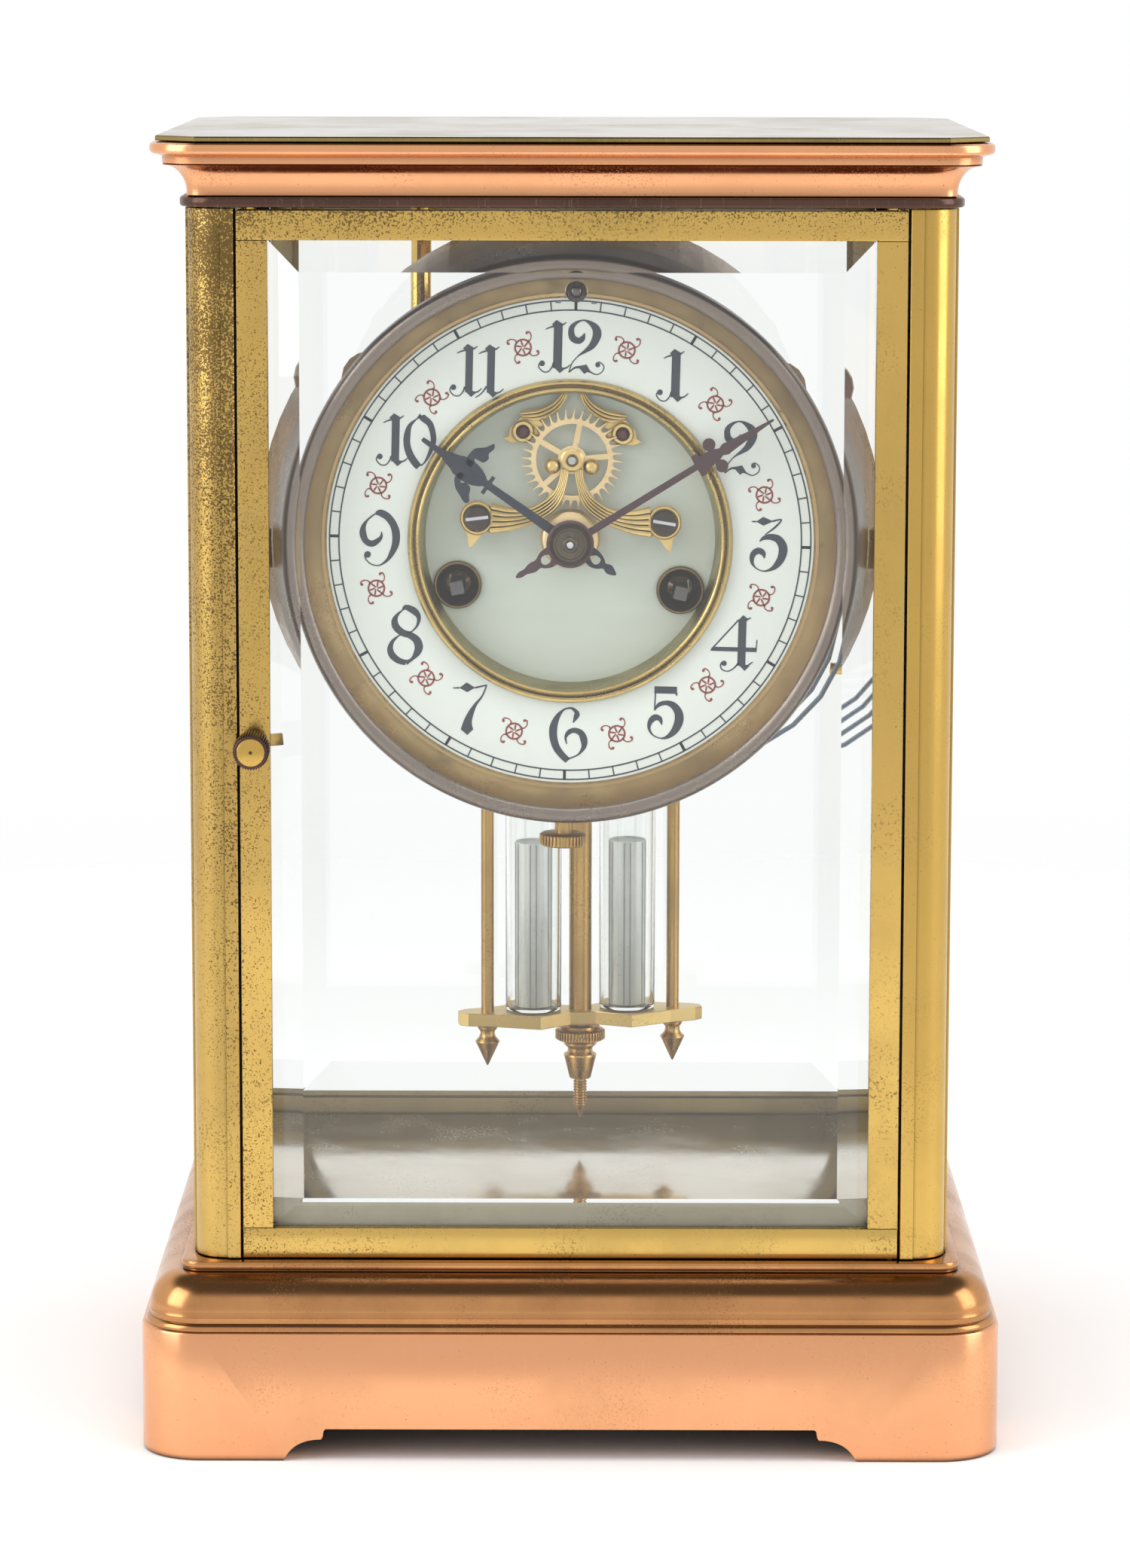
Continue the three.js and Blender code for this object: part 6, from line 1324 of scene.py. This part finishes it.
def make_minute_hand():
    """The minute hand with its collet, the end of its arbor and the pipe it turns with."""
    front, back = -51.0, -50.5
    body = mirrored([(3.5, 0.75), (29.7, 0.65), (29.9, 2.3), (31.0, 2.3), (31.2, 1.5),
                     (32.6, 1.5), (34.3, 1.4), (35.6, 0.8), (36.7, 1.25), (37.5, 1.12),
                     (39.0, 0.95), (43.6, 0.55), (48.0, 0.22)])
    tail = [(-3.4, 1.6), (-5.3, 2.1), (-6.9, 1.5), (-7.6, 1.0), (-8.9, 1.15), (-10.2, 0.75),
            (-10.7, 0.6), (-11.7, 0.65), (-12.5, 0.35), (-12.9, 0.0), (-12.4, -0.4),
            (-11.7, -0.58), (-10.6, -0.52), (-10.1, -0.7), (-9.0, -0.98), (-7.7, -0.9),
            (-6.9, -1.3), (-5.6, -1.85), (-3.4, -1.6)]
    eye = [(-4.6, 0.0), (-5.3, 0.95), (-6.5, 0.95), (-6.9, 0.1), (-6.3, -0.75),
           (-5.2, -0.7)]
    balls = [[circle(1.3, side * 2.5, 34.3, 28)] for side in (-1, 1)]
    meshes = [flat_mesh(loops, front, back, PLATE_EDGE)
              for loops in ([body], *balls, [leaf(tail), leaf(eye)])]
    meshes.append(lathe_mesh([(2.0, -50.5), (2.0, -51.2), (4.5, -51.2), (4.8, -51.0),
                              (4.8, -50.5)], 64))
    mesh = merged("minute", meshes)
    mesh.transform(hand_place(MINUTE_HAND_DEG))
    piece("minute_hand_outline", mesh, PURPLED, "minute_hand", ["minute_hand"])
    collet = [(0.9, -51.0), (0.9, -53.2), (1.3, -53.3), (1.6, -53.1), (1.7, -52.5),
              (2.9, -52.2), (3.0, -52.35), (3.4, -52.35), (3.55, -52.1), (4.1, -51.5),
              (4.2, -51.1)]
    piece("hand_collet", lathe_mesh(collet, 72, DIAL), COLLET, "minute_hand", ["cannon_pinion"])
    pin = [(0, -44), (0, -53.25), (0.5, -53.25), (0.8, -53.0), (0.8, -44)]
    piece("hand_arbor_end", lathe_mesh(pin, 32, DIAL), BRIGHT_STEEL, "minute_hand",
          ["cannon_pinion"])
    pipe = [(0.9, -51.0), (2.0, -51.0), (2.0, -27), (0.9, -27)]
    piece("cannon_pipe", lathe_mesh(pipe, 48, DIAL), SHADE_DARK_BRASS, "minute_hand",
          ["cannon_pinion"])


make_bezel()
make_dial_ring()
make_figures()
make_minute_track()
make_rosettes()
make_escape_wheel()
make_bridge()
make_anchor()
make_hour_hand()
make_minute_hand()


# Pendulum

BOB_X, BOB_Y = 2.0, 34.0
BOB = Matrix.Translation((BOB_X, BOB_Y, 0))
BOB_TWIST_DEG = 8.5
TURNED = BOB @ Matrix.Rotation(math.radians(BOB_TWIST_DEG), 4, "Z")
TRAY_HALF = ((27, 1.2), (25.2, 2.8), (19.5, 4.4), (10.1, 9), (2.8, 4.2))
TRAY_Z = (70.1, 72.95)
UPPER_Z = (131.2, 133.7)
UPPER_SHARE = 0.66
SIDE_ROD_X = 20.6
JAR_X = 10.4
CYLINDER_TOP = 110.5
SEAMS = 12


def plate_mesh(scale, z0, z1):
    """A carrier plate: its plan widens at the two jars and narrows at the ends."""
    quarter = [(x, y * scale) for x, y in TRAY_HALF]
    half = quarter + [(-x, y) for x, y in reversed(quarter)]
    points = half + [(-x, -y) for x, y in half]
    edge, half_length, half_width = 0.14, TRAY_HALF[0][0], 6
    rings = []
    for inset, z in ((edge, z0), (0, z0 + edge), (0, z1 - edge), (edge, z1)):
        rings.append([(x * (1 - inset / half_length), y * (1 - inset / half_width), z)
                      for x, y in points])
    return loft_mesh(rings, TURNED)


def knurled_mesh(radius, low, high, count, place):
    """A disc with rounded edges and a fine row of ribs round it."""
    disc = lathe_mesh([(0, low), (radius - 0.6, low), (radius - 0.25, low + 0.2),
                       (radius - 0.4, low + 0.45), (radius - 0.4, high - 0.45),
                       (radius - 0.25, high - 0.2), (radius - 0.6, high), (0, high)], 72)
    half = math.pi * radius / count * 0.5
    rib = box_mesh((-half, low + 0.35, -0.4), (half, high - 0.35, 0.28), half * 0.4)
    ring = ring_mesh(rib, count, radius - 0.28, SHADE_DARK_BRASS)
    mesh = merged("knurled", [disc, ring])
    mesh.transform(place)
    return mesh


def make_pendulum():
    """The tray with its jars, side rods and finials on the centre rod."""
    piece("jar_tray", plate_mesh(1, *TRAY_Z), BOB_BRASS, "pendulum", ["pendulum_tray"],
          smooth=False)
    piece("jar_top_plate", plate_mesh(UPPER_SHARE, *UPPER_Z), BOB_BRASS, "pendulum",
          ["pendulum_top_plate"], smooth=False)
    rod = [(0, 48.35), (0.15, 48.45), (1.0, 51.0), (1.35, 51.4)]
    thread_turns, pitch = 9, 0.62
    for i in range(thread_turns):
        z = 51.5 + pitch * i
        rod += [(1.5, z), (1.5, z + 0.2), (1.22, z + 0.32), (1.22, z + 0.5)]
    rod += [(1.3, 57.3), (2.2, 57.4), (2.35, 57.6), (3.5, 62.1), (3.65, 62.5), (3.5, 62.9),
            (3.1, 63.0), (2.75, 63.5), (2.75, 64.2), (3.2, 64.7), (3.6, 65.0), (3.6, 65.5),
            (1.4, 65.55), (1.4, 69.45), (2.48, 69.5), (2.48, 213.6), (0, 213.8)]
    piece("pendulum_centre_rod", lathe_mesh(rod, 40, BOB, "Z"), ROD_BRASS, "pendulum",
          ["pendulum_rod"])
    upright = BOB @ Matrix.Rotation(math.pi / 2, 4, "X")
    nut = knurled_mesh(5.5, 66.0, 68.5, 44, upright)
    collar = lathe_mesh([(1.7, 68.4), (4.3, 68.4), (4.4, 68.8), (4.2, 69.2), (1.7, 69.25)], 48,
                        BOB, "Z")
    piece("rating_nut_knurled", merged("nut", [nut, collar]), ROD_BRASS, "rating_nut",
          ["rating_nut"])
    for side, label in ((-1, "left"), (1, "right")):
        place = TURNED @ Matrix.Translation((side * SIDE_ROD_X, 0, 0))
        finial = [(0, 60.7), (0.2, 60.9), (2.55, 65.9), (2.7, 66.15), (2.6, 66.4),
                  (1.9, 67.1), (1.6, 67.9), (1.7, 68.6), (2.1, 69.0), (2.2, 69.4), (2.1, 69.7),
                  (1.4, 69.8), (1.4, 131.1), (0, 131.1)]
        piece(f"side_rod_{label}", lathe_mesh(finial, 32, place, "Z"), ROD_BRASS, "pendulum",
              [f"pendulum_{label}_rod"])
        jar_place = TURNED @ Matrix.Translation((side * JAR_X, 0, 0))
        jar = [(0, 73.1), (5.6, 73.1), (6.0, 73.3), (6.15, 73.8), (6.15, 130.9), (5.5, 130.9),
               (5.5, 74.3), (5.3, 73.9), (0, 73.8)]
        piece(f"jar_{label}", lathe_mesh(jar, 72, jar_place, "Z"), GLASS, "pendulum",
              [f"pendulum_{label}_jar"])
        top = CYLINDER_TOP
        tube = [(0, 74.0), (4.0, 74.0), (4.12, 74.2), (4.12, top - 0.2), (4.0, top),
                (3.6, top), (3.5, top - 0.3), (0, top - 0.3)]
        core = lathe_mesh(tube, 64, jar_place, "Z")
        seam = box_mesh((-0.11, 4.05, 74.2), (0.11, 4.2, top - 0.2))
        seams = []
        for i in range(SEAMS):
            turn = 2 * math.pi * (i + 0.4 * (i % 2)) / SEAMS
            copy = seam.copy()
            copy.transform(jar_place @ Matrix.Rotation(turn, 4, "Z"))
            seams.append(copy)
        bpy.data.meshes.remove(seam)
        piece(f"cylinder_{label}", core, PALE_STEEL, "pendulum", [f"pendulum_{label}_cylinder"])
        piece(f"cylinder_seams_{label}", merged("seams", seams), SEAM_STEEL, "pendulum",
              [f"pendulum_{label}_cylinder"])


# Door latches

LATCH_X, LATCH_Z = -63.85, 145.2
TONGUE_TURN_DEG = -6


def make_latches():
    """Turned knobs with a dark ribbed side, and the tongue behind the stile."""
    for label, turn in (("front", 0), ("back", math.pi)):
        place = Matrix.Rotation(turn, 4, "Z") @ Matrix.Translation((LATCH_X, 0, LATCH_Z))
        side = knurled_mesh(3.6, -71.7, -64.5, 40, place)
        dimple = lathe_mesh([(0, -71.88), (0.3, -71.86), (0.42, -71.7), (0, -71.65)], 24, place)
        piece(f"{label}_knob_side", merged("side", [side, dimple]), DARK, f"{label}_latch",
              [f"{label}_latch"])
        face = lathe_mesh([(0, -71.78), (2.6, -71.8), (2.75, -71.72), (2.8, -71.5), (0, -71.5)],
                          64, place)
        stem = lathe_mesh([(0, -64.6), (2.4, -64.5), (2.4, -62.35), (1.1, -62.3), (1.1, -55.0),
                           (0, -55.0)], 32, place)
        tongue = box_mesh((-1.175, -56.4, -1.175), (6.5, -55.0, 1.175), 0.1,
                          place @ Matrix.Rotation(math.radians(TONGUE_TURN_DEG), 4, "Y"))
        piece(f"{label}_knob_face", merged("face", [face, stem, tongue]), BRASS,
              f"{label}_latch", [f"{label}_latch"])


# Bezel thumbscrew, winding squares and regulator

THUMBSCREW_Y = -46.5
SQUARE_TURN_DEG = 12


def make_thumbscrew():
    """The ribbed nut under the bezel, on its stem."""
    place = (DIAL @ Matrix.Translation((0, THUMBSCREW_Y, 0))
             @ Matrix.Rotation(math.pi / 2, 4, "X"))
    head = knurled_mesh(4.8, -62.2, -59.6, 36, place)
    stem = cylinder_mesh(1.7, -60, -56.9, 24, (0, THUMBSCREW_Y), "Z", 0.1, DIAL)
    piece("bezel_nut", merged("nut", [head, stem]), ROD_BRASS, "bezel_thumbscrew",
          ["bezel_thumbscrew"])


def make_squares():
    """The three squares seen through the dial, in dark steel, and the regulator's collar."""
    for side, label in ((-1, "strike"), (1, "time")):
        place = (DIAL @ Matrix.Translation((side * WINDING_X, 0, WINDING_Z))
                 @ Matrix.Rotation(math.radians(SQUARE_TURN_DEG * side), 4, "Y"))
        stem = box_mesh((-1.35, -46.3, -1.35), (1.35, -30, 1.35), 0.18, place)
        piece(f"{label}_square", stem, SQUARE_STEEL, f"{label}_winding_arbor",
              [f"{label}_winding_arbor"])
    collar = lathe_mesh([(0.9, -44.6), (0.9, -46.9), (1.3, -47.2), (1.9, -46.9), (2.1, -46.4),
                         (2.1, -44.6)], 40, DIAL @ Matrix.Translation((0, 0, REGULATOR_Z)))
    stem = box_mesh((-0.7, -48.3, 49.9), (0.7, -42.8, 51.3), 0.12, DIAL)
    piece("regulator_collar", collar, SCREW_STEEL, "regulator_arbor", ["regulator_arbor"])
    piece("regulator_square", stem, SQUARE_STEEL, "regulator_arbor", ["regulator_arbor"])


make_pendulum()
make_latches()
make_thumbscrew()
make_squares()


# Pieces that keep the solid's own shape

WELD_MM = 0.002
FLAT_ANGLE_DEG = 0.5


def refined(name, material, bevel):
    """A merged copy of a solid with softened edges, which then stands for it."""
    mesh = NODES[name].data.copy()
    mesh.transform(Matrix.Scale(1 / MM, 4))
    work = bmesh.new()
    work.from_mesh(mesh)
    bmesh.ops.remove_doubles(work, verts=work.verts, dist=WELD_MM)
    bmesh.ops.dissolve_limit(work, angle_limit=math.radians(FLAT_ANGLE_DEG), verts=work.verts,
                             edges=work.edges)
    bmesh.ops.recalc_face_normals(work, faces=work.faces)
    sharp = [edge for edge in work.edges
             if edge.is_manifold and edge.calc_face_angle() > math.radians(SMOOTH_ANGLE_DEG)]
    bmesh.ops.bevel(work, geom=sharp, offset=bevel, offset_type="OFFSET", segments=2,
                    profile=0.5, affect="EDGES", clamp_overlap=True)
    work.to_mesh(mesh)
    work.free()
    piece("fine_" + name, mesh, material, BODY_OF[name], [name])


def repaint(name, material):
    """A solid whose shape is right keeps it and gets its finish."""
    slots = NODES[name].data.materials
    slots.clear()
    slots.append(material)


REFINED = {
    "floor_plate": (FLOOR_BRASS, 0.1), "left_bracket": (BRASS, 0.12),
    "right_bracket": (BRASS, 0.12), "back_door_frame": (SHADED_BRASS, 0.2),
    "left_side_frame": (BRASS, 0.2), "right_side_frame": (BRASS, 0.2),
}
for label, (finish, softness) in REFINED.items():
    refined(label, finish, softness)

PLAIN = (
    (GLASS, ("front_door_glass", "back_door_glass", "left_side_glass", "right_side_glass")),
    (DRUM_BRONZE, ("movement_drum",)),
    (BRASS, ("front_movement_plate", "back_movement_plate", "time_barrel", "strike_barrel",
             "hour_wheel", "minute_wheel", "centre_wheel", "third_wheel", "crutch",
             "suspension_cock", "gong_support", "strike_hammer")),
    (STEEL, ("suspension_spring",)),
    (SLATE, ("coil_gong",)),
)
for finish, labels in PLAIN:
    for label in labels:
        repaint(label, finish)



# Camera

def make_camera():
    """The camera that the photograph was fitted with."""
    data = bpy.data.cameras.new("camera")
    data.sensor_fit = "HORIZONTAL"
    data.sensor_width = SENSOR_MM
    data.lens = FOCAL_PX * SENSOR_MM / FRAME_WIDTH_PX
    data.clip_start = 0.01
    data.clip_end = 50
    made = bpy.data.objects.new("camera", data)
    bpy.context.scene.collection.objects.link(made)
    place = Vector(CAMERA_PLACE) * MM
    made.matrix_world = (Matrix.Translation(place)
                         @ Matrix.Rotation(math.radians(CAMERA_YAW_DEG), 4, "Z")
                         @ Matrix.Rotation(math.radians(90 - CAMERA_PITCH_DEG), 4, "X")
                         @ Matrix.Rotation(math.radians(CAMERA_ROLL_DEG), 4, "Z"))
    bpy.context.scene.camera = made


# Light

AMBIENT = 0.85
LOW_AMBIENT = 0.5
ROOM_GREY = 0.85
GAP_GREY = 0.12


def make_world():
    """White for what is seen, softer for what lights the object, and a dim room in front."""
    world = bpy.data.worlds.new("studio")
    bpy.context.scene.world = world
    world.use_nodes = True
    tree = world.node_tree
    back = tree.nodes["Background"]
    path = node(tree, "ShaderNodeLightPath")
    seen = math_node(tree, "MAXIMUM", path.outputs["Is Camera Ray"],
                     path.outputs["Is Transmission Ray"])
    place = node(tree, "ShaderNodeTexCoord").outputs["Generated"]
    parts = node(tree, "ShaderNodeSeparateXYZ", {"Vector": place})
    forward = node(tree, "ShaderNodeMapRange", {"Value": parts.outputs["Y"]}, From_Min=-1.0)
    room = ramp(tree, forward.outputs["Result"],
                [(0.06, grey(ROOM_GREY)), (0.3, grey(1))])
    upward = node(tree, "ShaderNodeMapRange", {"Value": parts.outputs["Z"]}, From_Min=-1.0)
    gap = ramp(tree, upward.outputs["Result"],
               [(0.8, grey(1)), (0.89, grey(GAP_GREY)), (1.0, grey(GAP_GREY))])
    room = mix(tree, 1.0, room, gap, "MULTIPLY")
    around = ramp(tree, upward.outputs["Result"],
                  [(0.5, grey(LOW_AMBIENT)), (0.85, grey(AMBIENT))])
    mirrored = mix(tree, path.outputs["Is Glossy Ray"], around, room)
    tree.links.new(mix(tree, seen, mirrored, grey(1)), back.inputs["Color"])
    back.inputs["Strength"].default_value = 1.0


def area_light(name, place, target, width, height, power):
    """A white rectangular lamp turned to a target, in metres and watts."""
    data = bpy.data.lights.new(name, "AREA")
    data.shape = "RECTANGLE"
    data.size, data.size_y = width, height
    data.energy = power
    made = bpy.data.objects.new(name, data)
    bpy.context.scene.collection.objects.link(made)
    made.location = place
    made.rotation_euler = (Vector(target) - Vector(place)).to_track_quat("-Z", "Y").to_euler()
    return made


def make_stage():
    """A pale floor that fades out into the white background."""
    size = 2.2
    mesh = bpy.data.meshes.new("floor")
    mesh.from_pydata([(-size, -size, 0), (size, -size, 0), (size, size, 0), (-size, size, 0)], [],
                     [(0, 1, 2, 3)])
    made, tree, shader = new_material("pale_floor")
    place = object_place(tree)
    tree.links.new(ramp(tree, noise(tree, place, 8.0), [(0, grey(0.93)), (1, grey(0.95))]),
                   shader.inputs["Base Color"])
    shader.inputs["Roughness"].default_value = 0.6
    shader.inputs["Specular IOR Level"].default_value = 0.1
    reach = node(tree, "ShaderNodeVectorMath", {0: place}, operation="LENGTH")
    fade = ramp(tree, reach.outputs["Value"], [(0.3, grey(0)), (0.8, grey(1))])
    clear = node(tree, "ShaderNodeBsdfTransparent")
    choose = node(tree, "ShaderNodeMixShader", {0: fade, 1: shader.outputs[0],
                                                2: clear.outputs[0]})
    tree.links.new(choose.outputs[0], tree.nodes["Material Output"].inputs["Surface"])
    mesh.materials.append(made)
    floor = bpy.data.objects.new("floor", mesh)
    bpy.context.scene.collection.objects.link(floor)


make_camera()
make_world()
area_light("left_softbox", (-0.9, -0.5, 0.55), (0, 0, 0.14), 0.7, 0.9, 5.0)
area_light("right_softbox", (0.95, -0.35, 0.5), (0, 0, 0.14), 0.6, 0.9, 3.5)
area_light("top_softbox", (0, -0.2, 1.1), (0, 0, 0.1), 0.9, 0.7, 5.0).visible_glossy = False
make_stage()
bpy.context.scene.view_settings.view_transform = "Standard"
